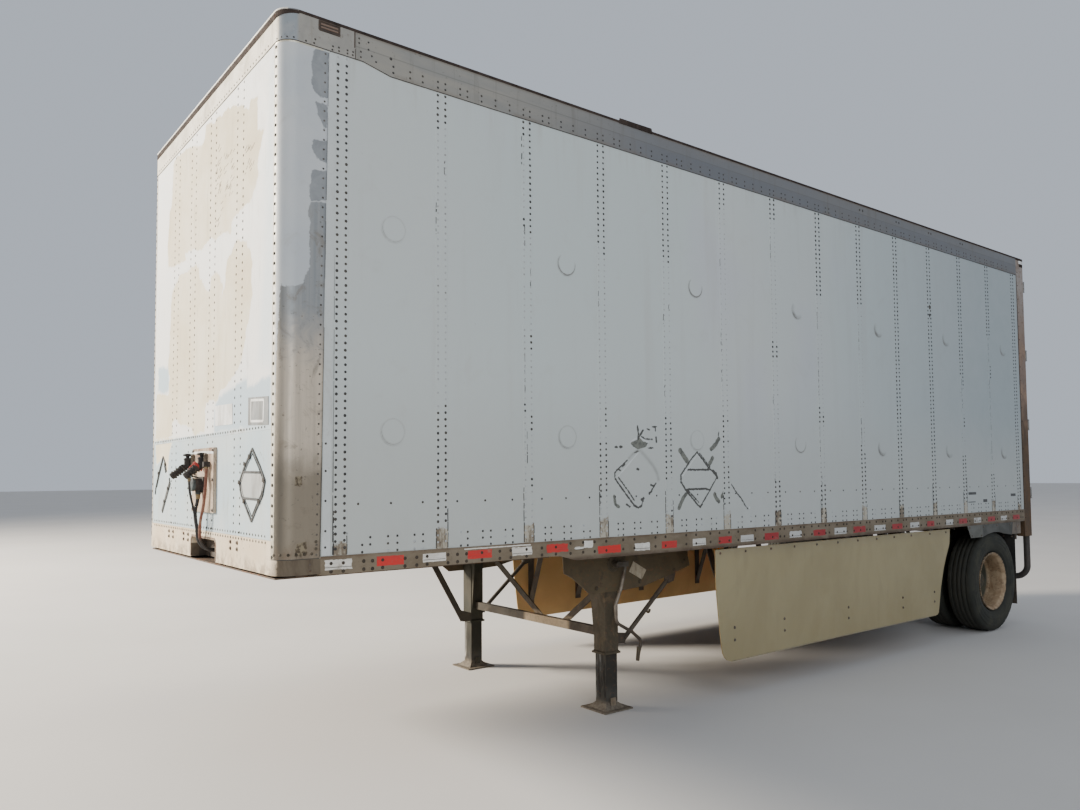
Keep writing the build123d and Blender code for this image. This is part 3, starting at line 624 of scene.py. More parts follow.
# marks of former placards, scuffs and scratches: a thin skin of the same paint
LINES = [  # outline of the worn marks, (behind the nose, z), width
    ([(2263, 1623), (2345, 1535), (2433, 1445), (2470, 1429), (2502, 1441)], 7), ([(2289, 1634), (2361, 1561), (2433, 1479)], 4),
    ([(2258, 1634), (2259, 1665), (2280, 1683), (2374, 1749)], 4), ([(2640, 1592), (2630, 1583)], 5),
    ([(2622, 1575), (2613, 1563)], 5), ([(2606, 1556), (2600, 1546)], 6), ([(2522, 1490), (2512, 1472)], 5), ([(2507, 1462), (2502, 1443)], 5), ([(2359, 1455), (2392, 1438)], 5),
    ([(2327, 1706), (2348, 1722)], 7), ([(2295, 1686), (2308, 1680)], 6), ([(2592, 1581), (2611, 1573)], 7),
    ([(2574, 1523), (2597, 1537)], 9), ([(2500, 1482), (2519, 1493)], 9), ([(2476, 1811), (2440, 1800)], 4),
    ([(3060, 1810), (3120, 1757), (3180, 1699), (3217, 1678), (3267, 1636)], 7), ([(3090, 1802), (3199, 1703)], 4),
    ([(3273, 1628), (3227, 1578), (3201, 1545), (3157, 1496), (3100, 1435)], 5), ([(3057, 1434), (3087, 1417), (3106, 1435)], 9),
    ([(2930, 1547), (2992, 1491), (3057, 1436)], 8), ([(2957, 1540), (3070, 1452)], 5), ([(2889, 1646), (2890, 1598), (2934, 1545)], 9),
    ([(2889, 1646), (2931, 1691), (3005, 1765), (3060, 1810)], 5), ([(2964, 1684), (3186, 1684)], 7),
    ([(2949, 1545), (3146, 1547), (3189, 1537)], 8), ([(3300, 1960), (3297, 1935)], 4),
    ([(2475, 1889), (2479, 1928), (2471, 1976)], 8), ([(2484, 1905), (2522, 1954)], 7), ([(2511, 1909), (2538, 1894), (2609, 1893)], 5),
    ([(2648, 1908), (2650, 1877)], 9), ([(2561, 1965), (2583, 1958)], 7), ([(2266, 1835), (2282, 1833)], 8),
    ([(2308, 1838), (2323, 1836)], 10), ([(2569, 1832), (2614, 1834)], 4), ([(2611, 1978), (2655, 1981)], 4),
    ([(2640, 1975), (2642, 1950)], 4), ([(3432, 1576), (3496, 1506), (3542, 1471), (3587, 1414), (3620, 1387)], 4),
    ([(3590, 1366), (3586, 1259)], 5), ([(3613, 1387), (3667, 1368)], 7), ([(3230, 1678), (3267, 1645)], 12),
    ([(3262, 1660), (3278, 1622)], 10), ([(3727, 1520), (3770, 1554), (3834, 1584)], 3), ([(2462, 1690), (2478, 1686)], 9),
]
SCUFFS = [
    ([(2887, 1820), (2919, 1784), (2954, 1746)], 30), ([(3300, 1911), (3269, 1876), (3215, 1833)], 24), ([(3226, 1770), (3197, 1728)], 24),
    ([(2939, 1512), (2903, 1477), (2866, 1417)], 22), ([(3244, 1507), (3259, 1477), (3287, 1451)], 22), ([(3366, 1532), (3323, 1486)], 22),
    ([(2250, 1510), (2262, 1455), (2290, 1440)], 12),
]
FAN = [(2403, 1864), (2440, 1880), (2473, 1887), (2489, 1901), (2518, 1878), (2576, 1869), (2548, 1839), (2471, 1822), (2424, 1840)]
SMEARS = [([(2500, 1812), (2560, 1762), (2612, 1715), (2650, 1665), (2664, 1618)], 12), ([(2496, 1813), (2462, 1812), (2420, 1788), (2388, 1762)], 9)]
PALES = [([(2403, 1868), (2440, 1890), (2489, 1908), (2530, 1886), (2576, 1873)], 9), ([(2905, 1640), (3066, 1795), (3150, 1725)], 8),
         ([(2279, 1634), (2476, 1800)], 8), ([(3640, 1400), (3600, 1340), (3598, 1260)], 12)]


def ring_shade_value(P, c, strength, kind):
    """Painted shade of a shallow ring in the sheet: a full thin circle or only its lower, forward crescent."""
    dx, dz = P[:, 0] - c[0], P[:, 1] - c[1]
    r = np.hypot(dx, dz)
    ang = np.degrees(np.arctan2(dz, -dx))          # 0 toward the nose, 90 up
    low_front = np.clip(1 - np.abs(((ang + 50 + 180) % 360) - 180) / 100, 0, 1)
    ring = np.exp(-((r - 69) / 3.2) ** 2)
    halo = np.exp(-((r - 77) / 4.0) ** 2) * low_front
    inner = np.exp(-((r - 58) / 12.0) ** 2) * low_front
    if kind == "full":
        return strength * (ring * (0.55 + 0.7 * low_front) + 0.75 * halo)
    if kind == "u":
        arms = np.clip(1 - np.abs(((ang + 75 + 180) % 360) - 180) / 125, 0, 1) ** 0.6
        return strength * (ring * arms * 1.7 + 0.5 * halo)
    return strength * (ring * low_front * 1.5 + inner * 0.9 + halo * 0.6)


RINGS = [(638, 3006, 0.30, "full"), (635, 1893, 0.34, "full"), (1863, 2996, 0.62, "u"), (1860, 1893, 0.45, "full"), (3074, 3008, 0.75, "u"),
         (3068, 1897, 0.40, "full"), (4297, 2984, 0.50, "c"), (4302, 1893, 0.55, "u"), (5511, 2952, 0.55, "c"), (5525, 1879, 0.55, "c"),
         (6744, 2982, 0.50, "c"), (6747, 1874, 0.45, "c"), (7988, 2986, 0.45, "c"), (7935, 1873, 0.60, "c")]
for side, label in ((1, "left"), (-1, "right")):
    bag, uv = grid(np.arange(2215, 3690, 6.0), np.arange(1385 if side > 0 else 1385, 1992, 6.0),
                   lambda q, s=side: np.stack([X(q[:, 0]), np.full(len(q), s * (SHEET + 0.35)), q[:, 1]], 1))
    if side < 0:
        bag.f = [f[::-1] for f in bag.f]
    mark, scuff, pale = (np.zeros(len(uv)) for _ in range(3))
    for n, (line, w) in enumerate(LINES):
        if side < 0 and n % 3 == 1:
            continue
        mark = np.maximum(mark, level(w / 2 + 3.4 - near_line(uv, line), 22))
    for line, w in SCUFFS:
        scuff = np.maximum(scuff, level(w / 2 + 5 - near_line(uv, line), 34))
    scuff = np.maximum(scuff, level(depth_in(uv, FAN), 40))
    for line, w in PALES:
        pale = np.maximum(pale, level(w / 2 - near_line(uv, line), 30))
    ring_shade_and_smear = ring_shade_value(uv, (3068, 1897), 0.32, "full")
    for line, w in SMEARS:
        ring_shade_and_smear = np.maximum(ring_shade_and_smear, 0.24 * np.exp(-(near_line(uv, line) / w) ** 2))
    piece(label + "_side_marks", bag, side_paint, attrs={"mark": mark, "scuff": scuff, "pale": pale, "ring_shade_and_smear": ring_shade_and_smear})
    # rings at the post pairs, each on a small square of skin
    bag, all_ring_shade = Bag(), []
    # the darker lower front side of each ring is painted shade
    for d, z, s, kind in RINGS:
        if abs(d - 3068) < 5 and z < 2000:
            continue
        g, q = grid(np.arange(d - 98, d + 98.1, 5.6), np.arange(z - 98, z + 98.1, 5.6),
                    lambda p, sd=side: np.stack([X(p[:, 0]), np.full(len(p), sd * (SHEET + 0.35)), p[:, 1]], 1))
        bag.add(g.v, [f[::-1] for f in g.f] if side < 0 else g.f)
        all_ring_shade.append(ring_shade_value(q, (d, z), s, kind))
    piece(label + "_side_rings", bag, side_paint, attrs={"ring_shade_and_smear": np.concatenate(all_ring_shade)})

# small blank marks low at the rear of the sides
blank = worn("blank_mark", (0.06, 0.06, 0.06), (0.10, 0.10, 0.10), (0.2, 0.2, 0.19), None, rough=0.6)
bag = Bag()
for a, b, z, h in ((7102, 7265, 1440, 26), (7416, 7504, 1361, 30), (8051, 8167, 1409, 28), (7096, 7248, 1353, 9)):
    for side in (1, -1):
        slab(bag, [(X(b), side * SHEET, z - h / 2), (X(a), side * SHEET, z - h / 2), (X(a), side * SHEET, z + h / 2), (X(b), side * SHEET, z + h / 2)],
             (0, side, 0), 0.8, 0.3)
piece("side_blank_marks", bag, blank)

# two small dents with torn paint beside the tenth post
bag = Bag()
for d, z, r in ((6436, 3262, 22), (6430, 3180, 18)):
    pts = [(X(d) + r * math.cos(a) * dice.uniform(0.5, 1.1), SHEET + 1.6, z + r * math.sin(a) * dice.uniform(0.7, 1.3)) for a in np.linspace(0, 6.0, 11)]
    slab(bag, pts, (0, 1, 0), 1.2, 0.6)
piece("side_dents", bag, rivet_dark)


# ---------------------------------------------------------------- nose
def fix(points):
    """Outline points on the nose, (y, z)."""
    return [(y + 0.04 * (y - 1206), z + 0.015 * (z - 1330)) for y, z in points]


BEIGE_TOP = fix([
    (-665, 3835), (-395, 3820), (10, 3725), (25, 3845), (215, 3790), (315, 3790), (505, 3780), (620, 3750), (720, 3695), (820, 3655),
    (840, 3695), (950, 3665), (955, 3570), (965, 3495), (1045, 3450), (1010, 3385), (970, 3330), (965, 3245), (915, 3175), (855, 3110),
    (815, 3125), (710, 3120), (645, 3105), (555, 3090), (535, 3035), (345, 3065), (270, 3060), (145, 3090), (40, 3070), (15, 3060),
    (-270, 3110), (-390, 3115), (-355, 3075), (-540, 3070), (-790, 3105), (-815, 3240), (-785, 3370), (-780, 3505), (-730, 3520),
    (-705, 3655), (-695, 3790)])
BEIGE_LOW = fix([
    (-695, 2895), (-615, 2945), (-505, 3000), (-355, 2990), (-295, 2995), (-65, 2975), (-35, 2875), (90, 2790), (155, 2770), (180, 2855),
    (255, 2870), (340, 2835), (405, 2750), (385, 2685), (450, 2740), (470, 2885), (540, 2915), (560, 2940), (650, 2975), (780, 2930),
    (865, 2860), (895, 2785), (890, 2675), (890, 2590), (855, 2495), (795, 2395), (755, 2295), (695, 2240), (585, 2195), (475, 2160),
    (380, 2155), (345, 2110), (335, 2095), (110, 2100), (105, 2000), (95, 1915), (-120, 1910), (-210, 1975), (-415, 1990), (-580, 2040),
    (-630, 2025), (-610, 1925), (-925, 1910), (-1075, 1920), (-1055, 2240), (-725, 2215), (-715, 2325), (-750, 2415), (-715, 2685)])
CREAM = fix([(-1075, 1920), (-605, 1920), (-705, 1810), (-730, 1680), (-845, 1810), (-1025, 1740)])
BLUE = [fix([(-1010, 2435), (-750, 2405), (-725, 2335), (-740, 2240), (-855, 2230), (-1015, 2270)]),
        fix([(845, 2130), (840, 2180), (640, 2150), (545, 2140), (360, 2110), (280, 2050), (280, 1905), (1190, 1905), (1190, 2160), (1000, 2140)])]
STRIPE = fix([(1206, 3840), (1120, 3700), (1085, 3300), (1090, 2900), (1040, 2500), (985, 2250), (1206, 2160)])

# scratched places of the upper half: y from, y to, z from, z to, how many
SCRATCHED = [(225, 320, 3300, 3640, 18), (360, 545, 3280, 3560, 30), (745, 880, 3320, 3470, 14), (150, 330, 3100, 3280, 8)]

k = Mat("nose_paint", 0.58, 0, 0.12)
w1 = k.noise(9, 7, 0.62, None, 0.8)
w2 = k.noise(30, 6, 0.65)
w3 = k.noise(2.2, 4, 0.6)
white = k.mix(k.band(w3, 0.35, 0.65), (0.88, 0.87, 0.835), (0.84, 0.85, 0.83))
pale_blue = k.mix(k.band(w3, 0.35, 0.65), (0.45, 0.56, 0.61), (0.53, 0.60, 0.615))
c = k.mix(k.times(k.edge(k.attr("stripe"), w3, 0.35, 0.22), 0.75), white, (0.68, 0.77, 0.80))
below = k.band(k.op("ADD", k.z, k.times(k.op("SUBTRACT", w1, 0.5), 0.06)), 1.925, 1.895)
c = k.mix(below, c, pale_blue)
c = k.mix(k.times(k.edge(k.attr("blue"), w1, 0.4, 0.10), 0.9), c, (0.42, 0.54, 0.62))
beige = k.mix(k.band(w3, 0.35, 0.62), (0.72, 0.63, 0.455), (0.80, 0.73, 0.575))
beige = k.mix(k.times(k.band(k.noise(14, 5, 0.65, (1, 1, 0.12)), 0.52, 0.72), 0.35), beige, (0.56, 0.48, 0.335))
lid = k.edge(k.attr("beige"), w1, 0.55, 0.035)
c = k.mix(lid, c, beige)
# pale feathered rim round the flaked paint
rim = k.times(k.band(k.attr("beige"), 0.36, 0.5), k.op("SUBTRACT", 1.0, lid))
c = k.mix(k.times(rim, 0.55), c, (0.80, 0.80, 0.78))
flake = k.band(w2, 0.64, 0.70)
c = k.mix(k.times(k.times(flake, lid), 0.5), c, (0.74, 0.74, 0.72))
hair = k.noise(60, 4, 0.6, (1, 1, 0.06))
c = k.mix(k.times(k.band(hair, 0.62, 0.70), 0.35), c, (0.40, 0.385, 0.35))
grime = k.times(k.band(k.noise(6, 6, 0.65, (1, 1, 0.3)), 0.5, 0.75), k.band(k.z, 2.1, 1.4))
c = k.mix(k.times(grime, 0.45), c, (0.34, 0.31, 0.26))
specks = k.band(k.noise(70, 4, 0.75), 0.70, 0.75)
c = k.mix(k.times(specks, 0.5), c, (0.22, 0.20, 0.17))
scr = k.edge(k.attr("mark"), w2, 0.7, 0.12)
c = k.mix(k.times(scr, 0.75), c, (0.20, 0.20, 0.20))
k.colour(c)
k.rough(k.op("ADD", k.band(w1, 0.3, 0.7, 0.50, 0.62), k.times(lid, 0.16), clamp=True))
k.bump(k.op("ADD", k.times(lid, -0.25), k.op("ADD", k.times(w2, 0.08), k.times(k.noise(1.6, 2, 0.5), 1.0))), 0.5, 0.006)
nose_paint = k.m
NOSE_PAIRS = (-645, -250, 165, 668)


def nose_place(q):
    y, z = q[:, 0], q[:, 1]
    swell = 0.75 + 0.45 * np.sin(y / 97.0 + 0.6 * np.sin(z / 380)) * np.sin(z / 310.0 + 1.3 * np.sin(y / 500))
    return np.stack([X_NOSE - 3 + swell, y, z], 1)


bag, uv = grid(np.linspace(-1205, 1205, 174), np.linspace(1331, 3887, 184), nose_place)
beige_lv = level(np.maximum(np.maximum(depth_in(uv, BEIGE_TOP), depth_in(uv, BEIGE_LOW)), depth_in(uv, CREAM)), 170)
blue_lv = level(np.maximum(depth_in(uv, BLUE[0]), depth_in(uv, BLUE[1])), 200)
stripe_lv = level(depth_in(uv, STRIPE), 320)
NOSE_MARKS = [([(743, 1839), (779, 1793), (804, 1748)], 5), ([(1019, 1794), (1093, 1736), (1164, 1686)], 6), ([(640, 1500), (700, 1420)], 5)]
mark_lv = np.zeros(len(uv))
for line, w in NOSE_MARKS:
    mark_lv = np.maximum(mark_lv, level(w / 2 - near_line(uv, line), 40))
piece("nose_sheet", bag, nose_paint, smooth=True,
      attrs={"beige": beige_lv, "blue": blue_lv, "stripe": stripe_lv, "mark": mark_lv})

# lining behind the nose sheet
lining = worn("lining_wood", (0.40, 0.28, 0.17), (0.33, 0.22, 0.13), (0.20, 0.15, 0.10), None, scale=1.2, rough=0.7, grain=60, relief=0.3)
clothe(lining, "front_wall")

heads = Bag()
out = (1, 0, 0)
for c0 in NOSE_PAIRS:
    for off in (-52, 52):
        z = 3868
        while z > 1350:
            if not (PANEL := (-160 < c0 + off < 330 and 1436 < z < 1840)):
                dome(heads, (X_NOSE - 2.6, c0 + off + dice.uniform(-1, 1), z), out, 8.2, 2.9)
            z -= 46.6
y = -1150
while y < 1150:
    dome(heads, (X_NOSE - 1.0, y, 1909), out, 7.2, 2.6)
    dome(heads, (X_NOSE - 2.6, y + 12, 1349), out, 7.6, 2.6)
    dome(heads, (X_NOSE + 0.1, y + 25, 1318), out, 7.6, 2.6)
    dome(heads, (X_NOSE + 0.1, y, 3912), out, 6.2, 2.2)
    y += 46
nose_rivet = Mat("nose_rivet", 0.8, 0.0, 0.08)
t1 = nose_rivet.noise(9, 4, 0.6)
nose_rivet.colour(nose_rivet.mix(nose_rivet.band(t1, 0.4, 0.62), (0.085, 0.080, 0.068), (0.03, 0.028, 0.024)))
nose_rivet.rough(nose_rivet.band(t1, 0.3, 0.7, 0.72, 0.88))
piece("nose_rivets", heads, nose_rivet.m, smooth=True)

# lap joint across the nose
bag = Bag()
strip(bag, (X_NOSE - 2.7, -1204, 1905), (X_NOSE - 2.7, 1204, 1905), 26, 1.6, (1, 0, 0), 60, 1.2, 0.15)
seam_paint = worn("nose_lap", (0.50, 0.59, 0.63), (0.60, 0.65, 0.66), (0.33, 0.32, 0.29), None, scale=4, rough=0.65, spec=0.12)
piece("nose_lap_joint", bag, seam_paint)

# short scratches through the flaked paint of the upper half
bag, scratch = Bag(), random.Random(57)
for y0, y1, z0, z1, n in SCRATCHED:
    for _ in range(n):
        y, z, run, rise = scratch.uniform(y0, y1), scratch.uniform(z0, z1), scratch.uniform(16, 46), scratch.uniform(4, 24)
        strip(bag, (X_NOSE - 1.9, y, z), (X_NOSE - 1.9, y + run, z + rise), scratch.uniform(3.0, 5.5), 0.7, (1, 0, 0), 3, 0.4, 0.2)
piece("nose_scratches", bag, worn("scratch_dark", (0.36, 0.31, 0.24), (0.24, 0.205, 0.16), (0.14, 0.12, 0.10), None, scale=14, rough=0.85, spec=0.06))

# placard holders: six-sided outline frames with two cross bars
bag, clips, panel = Bag(), Bag(), Bag()
for a, b, w in (((0, 192), (-108, 78), 14), ((-108, 78), (-190, -28), 14), ((-190, -28), (-206, -74), 12), ((0, 192), (66, 142), 13),
                ((66, 142), (98, 84), 12), ((-6, 166), (-96, 66), 5), ((-96, 66), (-168, -24), 5), ((40, 128), (76, 78), 5),
                ((196, 14), (92, -92), 34), ((92, -92), (-4, -192), 30), ((172, 40), (196, 14), 16)):
    strip(bag, (X_NOSE - 1.4, a[0] - 925, 1610 + a[1]), (X_NOSE - 1.4, b[0] - 925, 1610 + b[1]), w, 4.4, (1, 0, 0), 3, 1.5, 0.3)
for a, b in ((-112, 76), (64, 138), (150, -30), (60, -120)):
    slab(clips, [(X_NOSE + 2.6, a - 925 + u, 1610 + b + v) for u, v in ((-16, -7), (12, -13), (17, 6), (-11, 14))], (1, 0, 0), 4, 1.2)
    dome(clips, (X_NOSE + 6, a - 925, 1610 + b), (1, 0, 0), 5, 2.4)
for c0 in (922,):
    ring = [(0, 192), (118, 96), (196, 22), (160, -52), (72, -122), (-4, -192), (-112, -104), (-170, -54), (-204, 12), (-150, 72), (-74, 136)]
    pts = [(X_NOSE - 1.4, c0 + a, 1610 + b) for a, b in ring]
    for a, b in zip(pts, pts[1:] + pts[:1]):
        strip(bag, a, b, 15, 4.4, (1, 0, 0), 3, 1.5, 0.3)
    for a, b in zip(pts, pts[1:] + pts[:1]):
        a2 = (a[0], c0 + (a[1] - c0) * 0.87, 1610 + (a[2] - 1610) * 0.87)
        b2 = (b[0], c0 + (b[1] - c0) * 0.87, 1610 + (b[2] - 1610) * 0.87)
        strip(bag, a2, b2, 5, 2.4, (1, 0, 0), 1, 0.8)
    strip(bag, (X_NOSE - 1.4, c0 - 150, 1680), (X_NOSE - 1.4, c0 + 122, 1676), 12, 4.2, (1, 0, 0), 3, 1.4)
    strip(bag, (X_NOSE - 1.4, c0 - 146, 1538), (X_NOSE - 1.4, c0 + 92, 1534), 12, 4.2, (1, 0, 0), 3, 1.4)
    for a, b in ((-112, 112), (-40, 150), (108, -84), (-118, -90), (176, 24), (-196, 12)):
        slab(clips, [(X_NOSE + 2.6, c0 + a * 1.02 + u, 1610 + b + v) for u, v in ((-16, -7), (12, -13), (17, 6), (-11, 14))], (1, 0, 0), 4, 1.2)
        dome(clips, (X_NOSE + 6, c0 + a * 1.02, 1610 + b), (1, 0, 0), 5, 2.4)
    slab(panel, [(X_NOSE - 1.8, c0 + a, z) for a, z in ((-160, 1546), (104, 1542), (176, 1600), (168, 1640), (130, 1668), (-150, 1672), (-188, 1622))],
         (1, 0, 0), 1.5, 0.6)
holder = worn("placard_holder", (0.13, 0.13, 0.127), (0.07, 0.07, 0.068), (0.03, 0.028, 0.026), (0.12, 0.065, 0.035), 0.66, scale=9, rough=0.8, spec=0.08)
piece("nose_placard_holders", bag, holder)
piece("nose_placard_clips", clips, worn("placard_clip", (0.055, 0.052, 0.048), (0.10, 0.09, 0.08), (0.03, 0.028, 0.025), (0.15, 0.08, 0.045), 0.6, scale=20, rough=0.8, spec=0.08))
piece("nose_placard_panels", panel, worn("placard_panel", (0.47, 0.485, 0.475), (0.42, 0.435, 0.43), (0.27, 0.265, 0.25), None, scale=5, rough=0.7, relief=0.15, spec=0.12))

bag = Bag()
slab(bag, [(X_NOSE - 1.6, 266, 1956), (X_NOSE - 1.6, 586, 1950), (X_NOSE - 1.6, 578, 2068), (X_NOSE - 1.6, 262, 2076)], (1, 0, 0), 1.1, 0.5)
label_white = worn("blank_label", (0.86, 0.86, 0.84), (0.80, 0.80, 0.78), (0.50, 0.49, 0.46), None, scale=6, rough=0.65, dirt_from=0.42, relief=0.1, spec=0.12)
piece("nose_blank_label", bag, label_white)
bag = Bag()
slab(bag, [(X_NOSE - 1.6, 846, 1930), (X_NOSE - 1.6, 1158, 1916), (X_NOSE - 1.6, 1153, 2064), (X_NOSE - 1.6, 844, 2080)], (1, 0, 0), 1.2, 0.5)
label_grey = worn("blank_plate", (0.27, 0.285, 0.285), (0.34, 0.35, 0.35), (0.19, 0.19, 0.18), None, scale=8, rough=0.7, dirt_from=0.4, relief=0.2, spec=0.12)
piece("nose_blank_plate", bag, label_grey)
bag = Bag()
q = [(X_NOSE - 0.6, 888, 1950), (X_NOSE - 0.6, 1080, 1940), (X_NOSE - 0.6, 1086, 2050), (X_NOSE - 0.6, 890, 2062)]
for a, b in zip(q, q[1:] + q[:1]):
    strip(bag, a, b, 13, 1.0, (1, 0, 0), 4, 0.5, 0.1)
piece("nose_plate_edge", bag, label_white)

# front sill
k = Mat("sill_paint", 0.6, 0.0, 0.15)
a1, a2 = k.noise(7, 6, 0.65, (1, 1, 0.5), 0.5), k.noise(34, 5, 0.65)
c = k.mix(k.band(k.noise(2.4, 4), 0.35, 0.65), (0.70, 0.57, 0.405), (0.78, 0.67, 0.51))
c = k.mix(k.times(k.band(a1, 0.54, 0.70), 0.5), c, (0.40, 0.31, 0.21))
c = k.mix(k.times(k.band(a2, 0.60, 0.70), 0.5), c, (0.22, 0.15, 0.10))
smear = k.times(k.band(k.z, 1.27, 1.165), k.band(k.noise(11, 6, 0.7), 0.42, 0.6))
c = k.mix(k.times(smear, 0.6), c, (0.17, 0.12, 0.08))
turn = k.band(k.op("ADD", k.normal()[0], k.times(k.op("SUBTRACT", a2, 0.5), 0.25)), 0.93, 0.82)
c = k.mix(k.times(turn, k.band(k.z, 1.245, 1.238)), c, k.mix(k.band(a1, 0.4, 0.62), (0.142, 0.115, 0.082), (0.090, 0.068, 0.048)))
k.colour(c)
k.rough(k.band(a1, 0.3, 0.7, 0.45, 0.7))
k.bump(k.op("ADD", k.times(a2, 0.4), a1), 0.35, 0.002)
clothe(k.m, "front_sill")
bag = Bag()
for y in (-728, -625, -366, -265, 579, 692):
    for z in (1293, 1258):
        bolt(bag, (X_NOSE, y, z), (1, 0, 0), 8.5, 5.5)
for side in (1, -1):
    for z in (1178, 1208):
        dome(bag, (X(170), side * HALF, z), (0, side, 0), 6, 2.5)
bolt_steel = worn("bolt_steel", (0.20, 0.17, 0.14), (0.12, 0.10, 0.085), (0.07, 0.055, 0.045), (0.17, 0.085, 0.045), 0.52, scale=20, rough=0.55, metal=0.5)
piece("nose_sill_bolts", bag, bolt_steel)
pocket = worn("pocket_dark", (0.055, 0.045, 0.036), (0.085, 0.065, 0.048), (0.02, 0.018, 0.016), (0.16, 0.075, 0.035), 0.56, scale=9, rough=0.75)
clothe(pocket, "hose_pocket")
bag = Bag()
rim_pts = [(X_NOSE, -200, 1158), (X_NOSE, -200, 1260), (X_NOSE, -180, 1285), (X_NOSE, 280, 1285), (X_NOSE, 300, 1262), (X_NOSE, 300, 1158)]
for a, b in zip(rim_pts, rim_pts[1:]):
    strip(bag, (a[0], a[1] * 1.03, a[2] + 5), (b[0], b[1] * 1.03, b[2] + 5), 15, 2.2, (1, 0, 0), 6, 1.2, 0.3)
piece("pocket_rim", bag, worn("pocket_rim", (0.20, 0.15, 0.11), (0.30, 0.23, 0.16), (0.06, 0.045, 0.035), (0.19, 0.09, 0.045), 0.5, scale=12, rough=0.65))

# connection plate, its fittings and couplings
k = Mat("plate_tan", 0.55, 0.1, 0.4)
a1 = k.noise(16, 6, 0.65, (1, 1, 0.4), 0.4)
c = k.mix(k.band(a1, 0.38, 0.62), (0.50, 0.405, 0.30), (0.42, 0.31, 0.215))
c = k.mix(k.times(k.band(k.z, 1.66, 1.80), k.band(a1, 0.35, 0.6)), c, (0.19, 0.10, 0.055))
c = k.mix(k.times(k.band(k.noise(60, 4, 0.7), 0.56, 0.66), 0.6), c, (0.13, 0.08, 0.05))
k.colour(c)
k.rough(k.band(a1, 0.3, 0.7, 0.45, 0.7))
k.bump(a1, 0.3, 0.002)
clothe(k.m, "nose_connection_panel")
bag = Bag()
strip(bag, (X_NOSE + 14, -132, 1806), (X_NOSE + 14, 292, 1800), 16, 2.5, (1, 0, 0), 12, 1.0, 0.2)
piece("plate_white_bar", bag, label_white)
bag = Bag()
for y, z in ((-122, 1815), (282, 1813), (-122, 1460), (282, 1460), (-122, 1640), (282, 1640)):
    bolt(bag, (X_NOSE + 14, y, z), (1, 0, 0), 8, 6)
strip(bag, (X_NOSE + 13.6, 297, 1450), (X_NOSE + 13.6, 297, 1826), 8, 2.0, (1, 0, 0), 8, 0.8)
piece("plate_bolts", bag, bolt_steel)
cast = worn("cast_black", (0.026, 0.024, 0.023), (0.046, 0.040, 0.036), (0.10, 0.082, 0.066), (0.15, 0.075, 0.04), 0.62, scale=14, rough=0.7, spec=0.18)
clothe(cast, "gladhands", "electrical_socket")
bag, red, grey, bracket = Bag(), Bag(), Bag(), Bag()
DROOP = Vector((84, 0, -62)).normalized()
for ahead_mm, y in ((44, -140), (36, 130)):
    top = Vector((X_NOSE + ahead_mm, y, 1723))
    start = top + Vector((8, 0, 0))
    # ribbed head: collars, the sealing face with its ring, locking ear and latch
    for along, r in ((10, 23), (25, 26.5), (41, 22.5), (56, 27), (72, 23.5), (88, 26)):
        turned(bag, start + DROOP * along, DROOP, [(17.5, -6), (r, -4), (r, 3), (17.5, 6)], 18)
    turned(bag, start + DROOP * 104, DROOP, [(21, -3), (21, 3), (17, 5), (17, 2), (9, 2), (8, 5)], 20)
    ear = start + DROOP * 58 + Vector((0, -20, 0))
    slab(bag, [ear + DROOP * a + Vector((0, 0, b)) for a, b in ((-22, -14), (20, -9), (24, 6), (4, 15), (-20, 10))], (0, -1, 0), 8, 2)
    pipe(bag, [start + DROOP * a + Vector((0, 0, b)) for a, b in ((18, 18), (30, 27), (48, 28), (62, 21))], 4.5, 8)
    # hexagon nut under the cap and the cap's slot
    turned(bag, (top.x, y, 1764), (0, 0, 1), [(23, 0), (24, 4), (22, 9), (16, 12)], 8, phase=0.4)
    turned(bag, (top.x, y, 1787), (0, 0, 1), [(19, 0), (27, 2), (28, 6), (26, 11), (20, 13)], 18)
    # cast bracket behind the elbow
    slab(bracket, [(X_NOSE + 16, y + a, z) for a, z in ((14, 1716), (44, 1722), (50, 1742), (40, 1768), (48, 1792), (30, 1800), (12, 1782))], (1, 0, 0), 16, 4)
    turned(bag, (top.x, y, 1799), (0, 0, 1), [(18, 0), (16.5, 3), (6, 4)], 6, phase=0.2)
    turned(bag, (top.x, y, 1716), (0, 0, -1), [(21, 0), (19, 5), (10, 7)], 18)
    pipe(bag, [(X_NOSE + 20, y, 1746), (top.x - 18, y, 1746)], 15, 6)
    for s in (1, -1):
        bolt(bag, (X_NOSE + 22, y + s * 19, 1764 if s > 0 else 1728), (1, 0, 0), 4.5, 4)
# red hand wheel on the second head: a folded tag round its body
pipe(red, [(X_NOSE + 22, 92, 1698), (X_NOSE + 34, 88, 1718), (X_NOSE + 52, 90, 1730), (X_NOSE + 72, 98, 1728), (X_NOSE + 90, 104, 1714),
           (X_NOSE + 100, 106, 1696)], 9, 10)
slab(red, [(X_NOSE + a, 104, z) for a, z in ((26, 1690), (22, 1712), (44, 1732), (76, 1730), (98, 1706), (84, 1698), (70, 1714), (48, 1716), (38, 1700))],
     (0, -1, 0), 12, 3)
turned(red, (X_NOSE + 62, 124, 1722), DROOP, [(24, -9), (28.5, -7), (28.5, 7), (24, 9)], 18)
for z in (1552, 1562, 1572, 1584):
    turned(grey, (X_NOSE + 38, 70, z), (0, 0, 1), [(15.2, 0), (17.5, 1.5), (17.5, 5), (15.2, 6.5)], 18)
turned(grey, (X_NOSE + 68, 70, 1610), (1, 0, 0), [(38.5, -8), (40, -4), (40, 6), (34, 10), (20, 12)], 26)
pipe(grey, [(X_NOSE + 26, 34, 1652), (X_NOSE + 60, 36, 1660), (X_NOSE + 76, 60, 1657), (X_NOSE + 76, 84, 1657)], 4.5, 8)
piece("coupling_heads", bag, cast)
piece("coupling_brackets", bracket, worn("bracket_tan", (0.19, 0.15, 0.11), (0.12, 0.095, 0.07), (0.05, 0.042, 0.035), None, scale=16, rough=0.7, spec=0.15))
